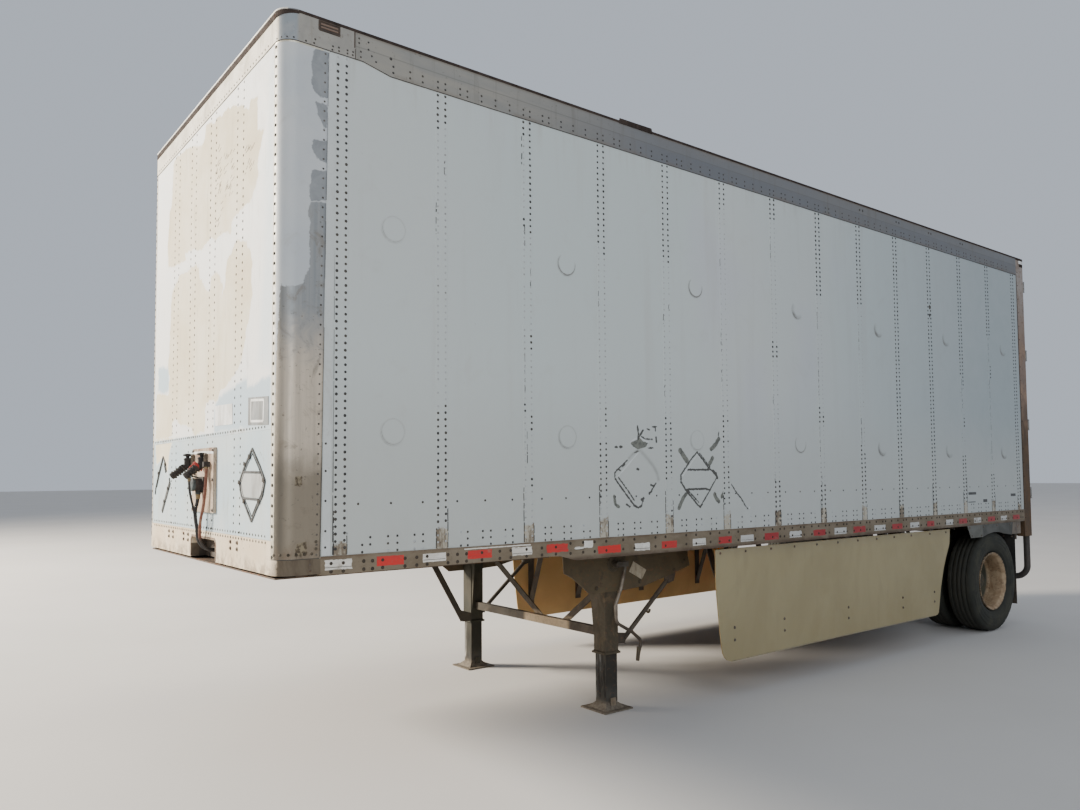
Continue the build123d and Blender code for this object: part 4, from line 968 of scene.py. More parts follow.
piece("coupling_tag", red, worn("tag_red", (0.34, 0.036, 0.03), (0.26, 0.04, 0.034), (0.12, 0.05, 0.04), None, scale=12, rough=0.7, spec=0.15))
piece("socket_lid", grey, worn("socket_grey", (0.085, 0.105, 0.105), (0.06, 0.072, 0.07), (0.032, 0.034, 0.032), None, scale=16, rough=0.7, spec=0.15))
bag = Bag()
for p, y, z, r in ((106, 130, 1646, 11), (32, 211, 1722, 14)):
    turned(bag, (X_NOSE + p, y, z), (0, 0, -1), [(r * 0.7, -12), (r, -10), (r, 4), (r * 0.86, 6), (r * 0.86, 14), (r * 0.7, 16)], 6)
turned(bag, (X_NOSE + 38, 70, 1552), (0, 0, -1), [(15, -6), (15, 6), (13.5, 10), (13, 24), (11.4, 30)], 16)
piece("hose_ends", bag, worn("brass_dull", (0.30, 0.23, 0.12), (0.20, 0.16, 0.10), (0.07, 0.06, 0.05), None, scale=20, rough=0.45, metal=0.7))

# ---------------------------------------------------------------- corner sheets
k = Mat("corner_metal", 0.42, 0.35, 0.5)
m1, m2 = k.noise(10, 7, 0.66, None, 0.7), k.noise(42, 5, 0.65)
brushed = k.noise(2.2, 5, 0.6, (18, 18, 0.5))
# painted reflection: bare metal grey above, a tan sheen from about 2.15–2.55 m down that turns darker below 1.6–1.85 m
sheen_zone = k.band(k.op("ADD", k.z, k.times(k.op("SUBTRACT", m1, 0.5), 0.5)), 2.55, 2.15)
bare_top = k.mix(k.band(brushed, 0.35, 0.65), (0.275, 0.29, 0.295), (0.34, 0.345, 0.34))
painted_sheen_low = k.mix(k.band(brushed, 0.35, 0.65), (0.66, 0.565, 0.445), (0.53, 0.455, 0.36))
painted_sheen_low = k.mix(k.times(k.band(k.op("ADD", k.z, k.times(k.op("SUBTRACT", m1, 0.5), 0.3)), 1.85, 1.60), 0.9), painted_sheen_low, (0.225, 0.19, 0.14))
metal = k.mix(sheen_zone, bare_top, painted_sheen_low)
# painted shade on the bend next to the nose edge, deeper below 1.6–1.95 m and along the bend below 1.8–2.1 m
painted_shade_bend = k.band(k.attr("across"), 0.42, 0.16)
metal = k.mix(k.times(painted_shade_bend, 0.55), metal, (0.19, 0.175, 0.145))
metal = k.mix(k.times(k.times(painted_shade_bend, k.band(k.z, 1.95, 1.6)), 0.6), metal, (0.115, 0.10, 0.078))
metal = k.mix(k.times(k.times(k.band(k.attr("across"), 0.05, 0.09), k.band(k.attr("across"), 0.34, 0.2)), k.band(k.z, 2.1, 1.8, 0.0, 0.35)), metal, (0.09, 0.08, 0.062))
metal = k.mix(k.times(k.band(m1, 0.52, 0.68), 0.5), metal, (0.20, 0.165, 0.12))
metal = k.mix(k.times(k.band(m2, 0.62, 0.70), 0.6), metal, (0.10, 0.085, 0.065))
paint = k.mix(k.band(k.noise(3, 4), 0.35, 0.65), (0.55, 0.57, 0.575), (0.50, 0.53, 0.55))
paint = k.mix(k.times(k.band(m1, 0.55, 0.7), 0.3), paint, (0.40, 0.40, 0.38))
on = k.edge(k.attr("paint"), m2, 0.55, 0.05)
c = k.mix(on, metal, paint)
prim = k.edge(k.attr("primer"), m2, 0.5, 0.05)
c = k.mix(prim, c, k.mix(k.band(m1, 0.35, 0.65), (0.235, 0.25, 0.26), (0.29, 0.305, 0.315)))
flange = k.band(k.op("ADD", k.attr("across"), k.times(k.op("SUBTRACT", m2, 0.5), 0.03)), 0.118, 0.098)
c = k.mix(k.times(flange, 0.8), c, k.mix(k.band(m1, 0.42, 0.62), (0.76, 0.71, 0.57), (0.62, 0.56, 0.42)))
foot = k.band(k.z, 1.34, 1.25)
c = k.mix(k.times(k.times(foot, k.band(m1, 0.35, 0.6)), 0.7), c, (0.16, 0.115, 0.075))
patch = k.edge(k.attr("patch"), m2, 0.5, 0.06)
c = k.mix(patch, c, k.mix(k.band(m2, 0.42, 0.6), (0.27, 0.225, 0.15), (0.088, 0.066, 0.042)))
k.colour(c)
k.put(k.b.inputs["Metallic"], k.times(k.op("SUBTRACT", 1.0, k.either(on, prim)), 0.45))
k.rough(k.op("ADD", k.band(m1, 0.3, 0.7, 0.36, 0.52), k.times(k.either(on, prim), 0.08), clamp=True))
k.bump(k.op("ADD", k.times(m2, 0.12), k.op("ADD", k.times(k.noise(3.2, 3, 0.5), 1.0), k.times(on, 0.2))), 0.4, 0.004)
corner_metal = k.m
clothe(corner_metal, "front_corner_posts")

PRIMER = [
    [(225, 3875), (305, 3895), (305, 3635), (265, 3625), (230, 3645), (210, 3695), (220, 3740), (210, 3775), (215, 3820)],
    [(230, 3600), (265, 3595), (300, 3600), (300, 3485), (285, 3460), (270, 3490), (255, 3515), (245, 3555)],
    [(220, 3395), (250, 3395), (305, 3405), (305, 3285), (275, 3285), (245, 3300), (225, 3330), (215, 3345)],
    [(215, 3240), (245, 3235), (305, 3245), (305, 3095), (260, 3075), (210, 3070), (200, 3110), (210, 3165)]]
PAINTED = [(-20, 3900), (320, 3900), (320, 3075), (210, 3065), (200, 3010), (210, 2940), (205, 2870), (210, 2730), (190, 2680), (170, 2630),
           (110, 2615), (70, 2615), (60, 2635), (-20, 2635)]
PAINTED2 = [(-30, 2700), (62, 2640), (40, 2300), (24, 1900), (16, 1500), (10, 1330), (-30, 1330)]
R = 90.0
S_END = 2 + R * math.pi / 2 + (224 - 91.5)


def corner_point(s, z, side, proud=0.6):
    """Point on the corner sheet by its girth from the nose edge."""
    if s < 2:
        return (X_NOSE - 1.5 + proud, side * (1206 - s), z) if s < 0 else (X_NOSE - 1.5 + proud, side * 1204.5, z)
    a = (s - 2) / R
    if a <= math.pi / 2:
        return (X_NOSE - 1.5 - R + (R + proud) * math.cos(a), side * (1204 + (R + proud) * math.sin(a)), z)
    return (X_NOSE - 1.5 - R - (s - 2 - R * math.pi / 2), side * (1294 + proud), z)


BEND = 2 + R * math.pi / 2


def sheet_end(z):
    """Girth of the corner sheet's rear edge; the edge leans 33 mm back toward the top."""
    return S_END - 3 + 33.4 * (z - 1254) / 2632


def sheet_girth(s, z):
    """Stretch the flat part of the even grid so that its last column follows the edge."""
    return s if s <= BEND else BEND + (s - BEND) * (sheet_end(z) - BEND) / (S_END - BEND)


def sheet_point(s, z, side):
    p = corner_point(sheet_girth(s, z), z, side)
    return (p[0], side * (SHEET + 0.1), z) if s > S_END else p


for side, label in ((1, "left"), (-1, "right")):
    us = np.concatenate([np.linspace(2, BEND, 19), np.linspace(BEND, S_END, 16)[1:], [S_END + 0.3]])
    vs = np.arange(1238, 3887, 11.0)
    bag, uv = grid(us, vs, lambda q, s=side: [sheet_point(float(a), float(b), s) for a, b in q])
    uv = np.array([(sheet_girth(float(a), float(b)), b) for a, b in uv])
    if side < 0:
        bag.f = [f[::-1] for f in bag.f]
    pr = level(np.max([depth_in(uv, g) for g in PRIMER], 0), 60)
    pa = level(np.maximum(depth_in(uv, PAINTED), depth_in(uv, PAINTED2)), 60)
    pt = level(np.maximum(depth_in(uv, [(140, 1605), (175, 1605), (175, 1655), (140, 1655)]) * 0.8,
                          depth_in(uv, [(140, 1255), (205, 1258), (200, 1325), (150, 1318)])), 50)
    piece(label + "_corner_sheet", bag, corner_metal, smooth=True,
          attrs={"primer": pr, "paint": pa, "patch": pt, "across": np.clip(uv[:, 0] / S_END, 0, 1)})
bag, edge_bag, big, low = Bag(), Bag(), Bag(), Bag()
for side in (1, -1):
    for front, first in ((True, 3862), (False, 3866)):
        z = first
        while z > 1250:
            s = 13 if front else sheet_end(z) - 19
            p = corner_point(s, z, side, 0.5)
            a = min(max((s - 2) / R, 0), math.pi / 2)
            dome(big if front else bag, p, (math.cos(a), side * math.sin(a), 0), 9.6 if front else 5.8, 3.4 if front else 2.6)
            z -= 51.2
    s = 30
    while s < S_END - 20:
        a = min(max((s - 2) / R, 0), math.pi / 2)
        dome(low, corner_point(s, 1262, side, 0.5), (math.cos(a), side * math.sin(a), 0), 8.0, 3.2)
        s += 40
    for z in (1286, 1322):
        dome(low, corner_point(S_END - 24, z, side, 0.5), (0, side, 0), 8.8, 3.2)
    # dark gap between the foot of the sheet and the sill
    foot = [(corner_point(q, 1237.2, 1, 0.5), min(max((q - 2) / R, 0), math.pi / 2)) for q in list(np.linspace(2, BEND, 14)) + [BEND + 60, S_END - 6]]
    for (a, ga), (b, gb) in zip(foot, foot[1:]):
        g = (ga + gb) / 2
        strip(edge_bag, (a[0], side * a[1], a[2]), (b[0], side * b[1], b[2]), 5.0, 0.9, (math.cos(g), side * math.sin(g), 0), 1, 0.6)
    # dark joint along the rear edge, widest low down
    z = 3880
    while z > 1250:
        n = dice.uniform(60, 150)
        z2 = max(1246, z - n)
        w = 1.6 if z > 2500 else (3.4 if z > 1900 else 5.2)
        if z < 2500 or dice.random() < 0.55:
            a = corner_point(sheet_end(z) + 1.5, z, side, -1.0)
            b = corner_point(sheet_end(z2) + 1.5, z2, side, -1.0)
            strip(edge_bag, a, b, w * dice.uniform(0.8, 1.2), 1.2, (0, side, 0), 2, 0.6)
        z = z2
piece("corner_rivets", bag, rivet_alu, smooth=True)
piece("corner_edge_rivets", big, nose_rivet.m, smooth=True)
foot_rivet = Mat("foot_rivet", 0.7, 0.0, 0.12)
t1 = foot_rivet.noise(9, 4, 0.6)
foot_rivet.colour(foot_rivet.mix(foot_rivet.band(t1, 0.4, 0.62), (0.125, 0.105, 0.077), (0.050, 0.042, 0.031)))
foot_rivet.rough(foot_rivet.band(t1, 0.3, 0.7, 0.6, 0.8))
piece("corner_foot_rivets", low, foot_rivet.m, smooth=True)
piece("corner_edge_joint", edge_bag, rivet_dark)
# cream edging where the nose sheet laps under the corner sheet
bag = Bag()
for side in (1, -1):
    strip(bag, (X_NOSE - 2.4, side * 1199, 1334), (X_NOSE - 2.4, side * 1199, 3884), 9, 2.2, (1, 0, 0), 60, 0.8, 0.15)
piece("corner_edging", bag, worn("edging_cream", (0.60, 0.53, 0.42), (0.66, 0.61, 0.52), (0.36, 0.29, 0.21), None, scale=6, rough=0.5))

# ---------------------------------------------------------------- top rails and cap
shadow_line = worn("rail_edge_painted_shadow", (0.045, 0.042, 0.038), (0.075, 0.068, 0.06), (0.03, 0.027, 0.024), None, scale=12, rough=0.85, spec=0.06)
k = Mat("top_rail_metal", 0.5, 0.25, 0.4)
m1, m2 = k.noise(5, 6, 0.62, (0.25, 1, 1.4), 0.4), k.noise(50, 5, 0.65)
c = k.mix(k.band(m1, 0.35, 0.65), (0.335, 0.315, 0.272), (0.27, 0.268, 0.25))
# painted shade: darker and bluish toward the rear of the rail
c = k.mix(k.band(k.x, 3.2, 1.3, 0.0, 0.95), c, k.mix(k.band(m1, 0.35, 0.65), (0.150, 0.160, 0.178), (0.172, 0.174, 0.180)))
upper = k.band(k.z, 3.954, 3.966)
c = k.mix(k.times(upper, 0.10), c, (0.36, 0.345, 0.31))
linemask = k.times(k.band(k.z, 3.9570, 3.9590), k.band(k.z, 3.9655, 3.9635))
c = k.mix(k.times(linemask, 0.35), c, (0.12, 0.12, 0.11))
c = k.mix(k.times(k.band(k.noise(20, 5, 0.65, (1, 1, 0.07)), 0.52, 0.7), 0.35), c, (0.15, 0.14, 0.12))
c = k.mix(k.times(k.band(m2, 0.62, 0.70), 0.5), c, (0.11, 0.10, 0.085))
c = k.mix(k.times(k.band(k.z, 4.020, 4.050), k.band(m1, 0.3, 0.6, 0.5, 1.0)), c, (0.16, 0.12, 0.085))
low = k.times(k.band(k.z, 3.885, 3.856), k.band(k.noise(6, 6, 0.66), 0.40, 0.60))
c = k.mix(k.times(low, 0.4), c, (0.17, 0.125, 0.09))
k.colour(c)
k.rough(k.band(m1, 0.3, 0.7, 0.42, 0.62))
k.bump(k.op("ADD", k.times(m2, 0.15), k.op("ADD", k.times(upper, 0.8), m1)), 0.3, 0.002)
clothe(k.m, "side_top_rails")
k = Mat("cap_metal", 0.6, 0.0, 0.15)
m1, m2 = k.noise(6, 6, 0.62, None, 0.5), k.noise(46, 5, 0.65)
face = k.normal()[0]
c = k.mix(k.band(m1, 0.35, 0.65), (0.36, 0.345, 0.31), (0.30, 0.29, 0.265))
bend = k.times(k.band(face, 0.04, 0.16), k.band(k.x, 4.10, 4.13))
c = k.mix(bend, c, k.mix(k.band(m1, 0.38, 0.62), (0.27, 0.30, 0.325), (0.33, 0.345, 0.355)))
c = k.mix(k.band(face, 0.90, 0.97), c, k.mix(k.band(m1, 0.38, 0.62), (0.70, 0.64, 0.52), (0.60, 0.54, 0.43)))
c = k.mix(k.times(k.band(k.noise(18, 5, 0.65, (1, 1, 0.1)), 0.52, 0.7), 0.4), c, (0.24, 0.21, 0.17))
c = k.mix(k.times(k.band(m2, 0.60, 0.70), 0.5), c, (0.15, 0.12, 0.09))
c = k.mix(k.times(k.band(k.z, 4.034, 4.050), k.band(m1, 0.3, 0.6, 0.6, 1.0)), c, (0.14, 0.115, 0.095))
k.colour(c)
k.rough(k.band(m1, 0.3, 0.7, 0.42, 0.64))
k.bump(k.op("ADD", k.times(m2, 0.2), m1), 0.3, 0.003)
clothe(k.m, "front_top_rail")

bag = Bag()
for side in (1, -1):
    out = (0, side, 0)
    y = side * HALF
    for d, z in ((425, 4010), (425, 3985), (480, 4005), (480, 3965), (435, 3940), (435, 3910), (500, 3935), (525, 3910), (276, 3919),
                 (273, 3900), (309, 3923), (310, 3904), (358, 3923), (358, 3906), (390, 3924), (388, 3906), (178, 3926), (172, 3904), (128, 3902)):
        dome(bag, (X(d), y, z), out, 5.8, 2.4)
    for deg in (12, 32, 52, 73):
        a = math.radians(deg)
        dome(bag, corner_point(2 + R * a, 3903, side, 1.5), (math.cos(a), side * math.sin(a), 0), 5.2, 2.2)
    dome(bag, (X(615), y, 3955), out, 9, 2.6)
    for d in (630, 735, 815):
        for z in (3915, 3880):
            dome(bag, (X(d), y, z), out, 7, 2.6)
    for k in range(1, 13):
        base = 305 + PITCH * k
        for off in (0, 49.5, 150, 200, 300, 400, 505):
            for z in (3912, 3878):
                if base + off < 8340:
                    dome(bag, (X(base + off), y, z), out, 7, 2.6)
    for d, z in ((5273, 3996), (5884, 3998), (6477, 3997), (7115, 3998)):
        for e in (-24, 24):
            dome(bag, (X(d + e), y, z), out, 11, 2.6)
piece("top_rail_rivets", bag, rivet_dark, smooth=True)

# dark line along the lower edge of the cap and the rails: painted shadow under their lower edge
bag = Bag()
for side in (1, -1):
    low_line = [(224, 3889.6), (447, 3889.6), (615, 3853.6), (8366, 3853.6)]
    for (a, za), (b, zb) in zip(low_line, low_line[1:]):
        strip(bag, (X(a), side * HALF, za), (X(b), side * HALF, zb), 4.2, 0.7, (0, side, 0), max(2, int((b - a) / 60)), 0.6, 0.1)
    arc_pts = [(corner_point(q, 3889.6, 1, 1.6), (q - 2) / R) for q in np.linspace(2, 2 + R * math.pi / 2, 14)]
    for (a, ga), (b, gb) in zip(arc_pts, arc_pts[1:]):
        g = (ga + gb) / 2
        strip(bag, (a[0], side * a[1], a[2]), (b[0], side * b[1], b[2]), 4.2, 0.9, (math.cos(g), side * math.sin(g), 0), 1, 0.6)
    strip(bag, (X(92), side * HALF, 3889.6), (X(226), side * HALF, 3889.6), 4.2, 0.7, (0, side, 0), 3, 0.6)
strip(bag, (X_NOSE, -1204, 3889.6), (X_NOSE, 1204, 3889.6), 4.2, 0.7, (1, 0, 0), 60, 0.6, 0.1)
piece("rail_edge_lines", bag, shadow_line)

# seam of the cap, marker light recesses
bag = Bag()
for side in (1, -1):
    strip(bag, (X(400), side * HALF, 3950), (X(400), side * HALF, 4040), 7, 1.4, (0, side, 0), 8, 0.8, 0.5)
    strip(bag, (X(404), side * HALF, 3890), (X(402), side * HALF, 3945), 4, 1.2, (0, side, 0), 6, 0.8, 0.3)
    a = [(X(d), side * HALF, z) for d, z in ((200, 3986), (312, 3986), (312, 4035), (200, 4035))]
    for p0, p1 in zip(a, a[1:] + a[:1]):
        strip(bag, p0, p1, 10, 4.0, (0, side, 0), 4, 1.6, 0.5)
    slab(bag, [(X(202), side * HALF, 3988), (X(310), side * HALF, 3988), (X(310), side * HALF, 4033), (X(202), side * HALF, 4033)], (0, side, 0), 1.0, 0.4)
piece("marker_frames", bag, worn("marker_rust", (0.05, 0.038, 0.030), (0.075, 0.052, 0.038), (0.022, 0.018, 0.015), (0.14, 0.07, 0.04), 0.6, scale=18, rough=0.7))
amber = worn("marker_amber", (0.19, 0.128, 0.094), (0.26, 0.182, 0.136), (0.10, 0.068, 0.05), None, scale=22, rough=0.35, spec=0.5)
bag = Bag()
for side in (1, -1):
    for z in (4002, 4019):
        strip(bag, (X(208), side * HALF, z), (X(304), side * HALF, z), 10.5, 3.4, (0, side, 0), 10, 1.8, 0.2)
piece("marker_lenses", bag, amber)

# roof edge: dark band with a thin pale line above it on the nose. On the nose and round its corners the dark band is
# painted shade of the recess under the roof edge, with its brown dirt, and the pale line is a painted highlight of the
# sunlit top edge.
dark_edge = worn("roof_edge_dark", (0.040, 0.031, 0.027), (0.066, 0.050, 0.043), (0.02, 0.016, 0.014), (0.085, 0.052, 0.038), 0.60, scale=9, rough=0.85, spec=0.06)
bag = Bag()
for side in (1, -1):
    strip(bag, (X(92), side * (HALF - 0.4), 4046), (X(8520), side * (HALF - 0.4), 4046), 15, 4.0, (0, side, 0), 160, 1.5, 0.5)
pts = [(corner_point(s, 4046, 1, 1.6)) for s in np.linspace(2, 2 + R * math.pi / 2, 14)]
for side in (1, -1):
    for n, (a, b) in enumerate(zip(pts, pts[1:])):
        m = ((a[0] + b[0]) / 2 - (X_NOSE - 91.5), (a[1] + b[1]) / 2 - 1204)
        w = 34 - n * 1.5
        z = 4048.5 - w / 2
        strip(bag, (a[0], side * a[1], z), (b[0], side * b[1], z), w, 3.4, (m[0], side * m[1], 0), 1, 1.2)
# dark band across the nose: painted shade of the recess under the roof edge, with its brown dirt
strip(bag, (X_NOSE - 0.4, -1204, 4031), (X_NOSE - 0.4, 1204, 4031), 35, 3.0, (1, 0, 0), 60, 1.4, 0.5)
# doubled plate on the roof edge above the third post
slab(bag, [(X(2650), HALF - 1, 4036), (X(2330), HALF - 1, 4036), (X(2336), HALF - 1, 4070), (X(2640), HALF - 1, 4073)], (0, 1, 0), 5.5, 1.5)
for d in (2360, 2450, 2540, 2620):
    dome(bag, (X(d), HALF + 4.5, 4053), (0, 1, 0), 7, 2.6)
piece("roof_edge_band", bag, dark_edge)
# pale lip: painted highlight of the sunlit top edge of the roof
bag = Bag()
strip(bag, (X_NOSE - 0.4, -1206, 4053.6), (X_NOSE - 0.4, 1206, 4053.6), 10.5, 4.6, (1, 0, 0), 60, 1.6, 0.3)
for side in (1, -1):
    for a, b in zip(pts[:8], pts[1:9]):
        m = ((a[0] + b[0]) / 2 - (X_NOSE - 91.5), (a[1] + b[1]) / 2 - 1204)
        strip(bag, (a[0], side * a[1], 4053.6), (b[0], side * b[1], 4053.6), 9.5, 3.8, (m[0], side * m[1], 0), 1, 1.4)
piece("roof_front_lip", bag, worn("roof_lip_white", (0.80, 0.78, 0.72), (0.72, 0.69, 0.62), (0.36, 0.30, 0.24), None, scale=7, rough=0.5))
k = Mat("roof_skin", 0.5, 0.2, 0.4)
m1, m2 = k.noise(1.3, 6, 0.62, None, 0.6), k.noise(24, 6, 0.65)
c = k.mix(k.band(m1, 0.35, 0.65), (0.52, 0.52, 0.51), (0.44, 0.44, 0.43))
c = k.mix(k.times(k.band(k.noise(6, 6, 0.7), 0.52, 0.68), 0.5), c, (0.27, 0.25, 0.22))
c = k.mix(k.times(k.band(m2, 0.6, 0.7), 0.45), c, (0.18, 0.16, 0.135))
c = k.mix(k.band(k.normal()[2], 0.7, 0.3), c, (0.06, 0.045, 0.035))
k.colour(c)
k.rough(k.band(m1, 0.3, 0.7, 0.42, 0.62))
k.bump(k.op("ADD", k.times(m2, 0.15), m1), 0.35, 0.006)
clothe(k.m, "roof_panel")
bag = Bag()
for k0 in range(1, 13):
    xb = X(345 + PITCH * k0)
    strip(bag, (xb, -1275, 4059.6), (xb, 1275, 4059.6), 58, 1.6, (0, 0, 1), 24, 8, 0.3)
for side in (1, -1):
    d = 130
    while d < 8500:
        dome(bag, (X(d), side * 1272, 4060), (0, 0, 1), 6, 2.2, 6)
        d += 50
piece("roof_ridges", bag, worn("roof_ridge", (0.48, 0.48, 0.47), (0.40, 0.40, 0.39), (0.24, 0.22, 0.2), None, scale=3, rough=0.5, metal=0.2))
clothe(worn("roof_bow_metal", (0.38, 0.38, 0.375), (0.30, 0.30, 0.295), (0.18, 0.17, 0.16), None, scale=4, rough=0.45, metal=0.5), "roof_bows")

# ---------------------------------------------------------------- bottom rails with reflective tape
k = Mat("bottom_rail_metal", 0.55, 0.15, 0.4)
m1, m2 = k.noise(7, 7, 0.66, (0.6, 1, 1.2), 0.6), k.noise(46, 5, 0.68)
c = k.mix(k.band(m1, 0.35, 0.65), (0.215, 0.172, 0.118), (0.165, 0.130, 0.086))
c = k.mix(k.times(k.band(k.noise(3, 4), 0.45, 0.65), 0.5), c, (0.25, 0.21, 0.152))
c = k.mix(k.times(k.band(m2, 0.58, 0.70), 0.5), c, (0.10, 0.075, 0.055))
edge_low = k.band(k.z, 1.150, 1.118)
c = k.mix(k.times(edge_low, k.band(m1, 0.3, 0.6, 0.4, 0.9)), c, (0.085, 0.055, 0.036))
edge_top = k.band(k.z, 1.226, 1.242)
c = k.mix(k.times(edge_top, k.band(m1, 0.4, 0.62, 0.2, 0.8)), c, (0.13, 0.085, 0.055))
k.colour(c)
k.rough(k.band(m1, 0.3, 0.7, 0.48, 0.72))
k.bump(k.op("ADD", k.times(m2, 0.3), m1), 0.4, 0.002)
clothe(k.m, "side_bottom_rails")

TAPE = [("w", 247, 396), ("r", 538, 699), ("w", 816, 963), ("r", 1109, 1275), ("w", 1419, 1568), ("r", 1683, 1850), ("w", 1905, 2060),
        ("r", 2100, 2302), ("w", 2429, 2570), ("r", 2686, 2834), ("w", 2998, 3135), ("r", 3276, 3421), ("w", 3524, 3677), ("r", 3810, 3983),
        ("w", 4124, 4281), ("r", 4444, 4611), ("w", 4739, 4915), ("r", 5021, 5205), ("w", 5348, 5527), ("r", 5643, 5814), ("w", 5953, 6114),
        ("r", 6261, 6392), ("w", 6623, 6761), ("r", 6882, 7047), ("w", 7194, 7344), ("r", 7498, 7655), ("w", 7793, 7933), ("r", 8080, 8240)]


def tape_piece(bag, a, b, side, z0, z1, torn=2.0, y0=HALF):
    """Strip of tape with slightly uneven ends, cut back round nothing."""
    n = max(6, int(abs(b - a) / 12))
    us, vs = np.linspace(a, b, n + 1), np.linspace(z0, z1, 5)
    first = len(bag.v)
    verts, faces = [], []
    for j, z in enumerate(vs):
        for i, d in enumerate(us):
            e = dice.uniform(-torn, torn) if i in (0, n) else 0
            f = dice.uniform(-torn, torn) * 0.6 if j in (0, 4) else 0
            verts.append((X(d + e), side * (y0 + 0.7 + dice.uniform(0, 0.25)), z + f))
    w = n + 1
    for j in range(4):
        for i in range(n):
            q = (j * w + i, j * w + i + 1, (j + 1) * w + i + 1, (j + 1) * w + i)
            faces.append(q if side > 0 else q[::-1])
    back = len(verts)
    for d, z in ((a, z0), (b, z0), (b, z1), (a, z1)):
        verts.append((X(d), side * (y0 - 0.2), z))
    faces.append((back, back + 1, back + 2, back + 3))
    bag.add(verts, faces)


def tape_mat(name, base, faded, line_colour, rear_shade):
    k = Mat(name, 0.4, 0, 0.5)
    m1, m2 = k.noise(13, 6, 0.66, (0.5, 1, 1), 0.4), k.noise(70, 5, 0.7)
    c = k.mix(k.band(m1, 0.38, 0.64), base, faded)
    lines = k.noise(3, 3, 0.6, (1.2, 1, 60))
    c = k.mix(k.times(k.band(lines, 0.55, 0.63), 0.55), c, line_colour)
    # painted shade: the tape turns greyer and darker toward the rear
    c = k.mix(k.band(k.x, 1.9, 0.3, 0.0, 0.8), c, rear_shade)
    c = k.mix(k.times(k.band(m2, 0.58, 0.70), 0.6), c, (0.20, 0.14, 0.10))
    c = k.mix(k.times(k.band(k.noise(8, 6, 0.7), 0.58, 0.68), 0.55), c, (0.24, 0.19, 0.14))
    k.colour(c)
    k.rough(k.band(m1, 0.3, 0.7, 0.34, 0.55))
    k.bump(k.cells(330), 0.18, 0.0006)
    return k.m


tape_white = tape_mat("tape_white", (0.78, 0.755, 0.69), (0.66, 0.63, 0.56), (0.36, 0.33, 0.29), (0.47, 0.475, 0.46))
tape_red = tape_mat("tape_red", (0.60, 0.026, 0.020), (0.50, 0.034, 0.028), (0.30, 0.05, 0.04), (0.27, 0.018, 0.024))
whites, reds, tape_lines = Bag(), Bag(), Bag()
for side in (1, -1):
    for tone, a, b in TAPE:
        low = 0 if a < 2080 else 31
        z0, z1 = 1174 - low + dice.uniform(-2, 2), 1224 - low + dice.uniform(-2, 2)
        if tone == "w" and a == 1905:
            tape_piece(whites, 1905, 1985, side, 1184, 1198, 5)
            tape_piece(whites, 1985, 2058, side, 1188, 1233, 5)
            strip(tape_lines, (X(1912), side * (HALF + 0.6), 1181), (X(1990), side * (HALF + 0.6), 1182), 3, 0.8, (0, side, 0), 4, 0.3)
            continue
        tape_piece(whites if tone == "w" else reds, a, b, side, z0, z1, 1.6 if dice.random() < 0.7 else 4)
        if tone == "w":
            strip(tape_lines, (X(a + 3), side * (HALF + 0.6), z0 + 13), (X(b - 3), side * (HALF + 0.6), z0 + 12), 3, 0.8, (0, side, 0), 6, 0.3)
    tape_piece(whites, 1085, 1560, side, 1229, 1236, 1.5)
piece("tape_white", whites, tape_white)
piece("tape_red", reds, tape_red)
piece("tape_lines", tape_lines, rivet_dark)
bag = Bag()
RAIL_D = [281, 348, 463, 513, 572, 706, 778, 843, 977, 1040, 1100, 1206, 1332, 1411, 1528, 1645, 1754, 1872, 1976, 2073, 2174, 2324, 2426,
          2625, 2723, 2932, 3034, 3187, 3287, 3393, 3497, 3698, 3802]
BAY = [0, 96, 150, 255, 360, 408, 510]
RAIL_D += [3910 + PITCH * k + b for k in range(8) for b in BAY]
for side in (1, -1):
    for d in RAIL_D:
        if d > 8345:
            continue
        dd = d + (dice.uniform(-5, 5) if d > 3900 else 0)
        for z in ((1207, 1165) if d < 1850 else (1222, 1161)):
            dome(bag, (X(dd), side * HALF, z + dice.uniform(-1.5, 1.5)), (0, side, 0), 10.4, 3.4)
rail_rivet = worn("rail_rivet", (0.052, 0.043, 0.034), (0.078, 0.062, 0.047), (0.028, 0.023, 0.018), (0.12, 0.065, 0.038), 0.62, scale=20, rough=0.62, spec=0.12)
piece("bottom_rail_rivets", bag, rail_rivet, smooth=True)


# ---------------------------------------------------------------- floor, coupler, underside
deck = Mat("deck_boards", 0.75, 0, 0.3)
g = deck.noise(2.2, 6, 0.65, (0.5, 14, 1))
c = deck.mix(deck.band(g, 0.35, 0.65), (0.33, 0.22, 0.125), (0.22, 0.14, 0.08))
board = deck.op("PINGPONG", deck.op("ADD", deck.y, 10.0), 0.0775)
c = deck.mix(deck.times(deck.band(board, 0.004, 0.0015), 0.9), c, (0.03, 0.022, 0.015))
c = deck.mix(deck.times(deck.band(deck.noise(1.5, 6, 0.7), 0.5, 0.7), 0.6), c, (0.12, 0.09, 0.065))
c = deck.mix(deck.band(deck.z, 1.226, 1.218), c, (0.10, 0.075, 0.055))
deck.colour(c)
deck.rough(deck.band(g, 0.3, 0.7, 0.6, 0.85))
deck.bump(deck.op("ADD", deck.times(deck.band(board, 0.0, 0.005), 1.0), deck.times(g, 0.4)), 0.5, 0.002)
clothe(deck.m, "floor_deck")
bag = Bag()
for k0 in range(0, 27):
    x = X(150 + 304.8 * k0)
    for i in range(-7, 8):
        dome(bag, (x, i * 155 + 70, 1245), (0, 0, 1), 7, 1.4, 6)
piece("deck_screws", bag, rivet_dark, smooth=True)

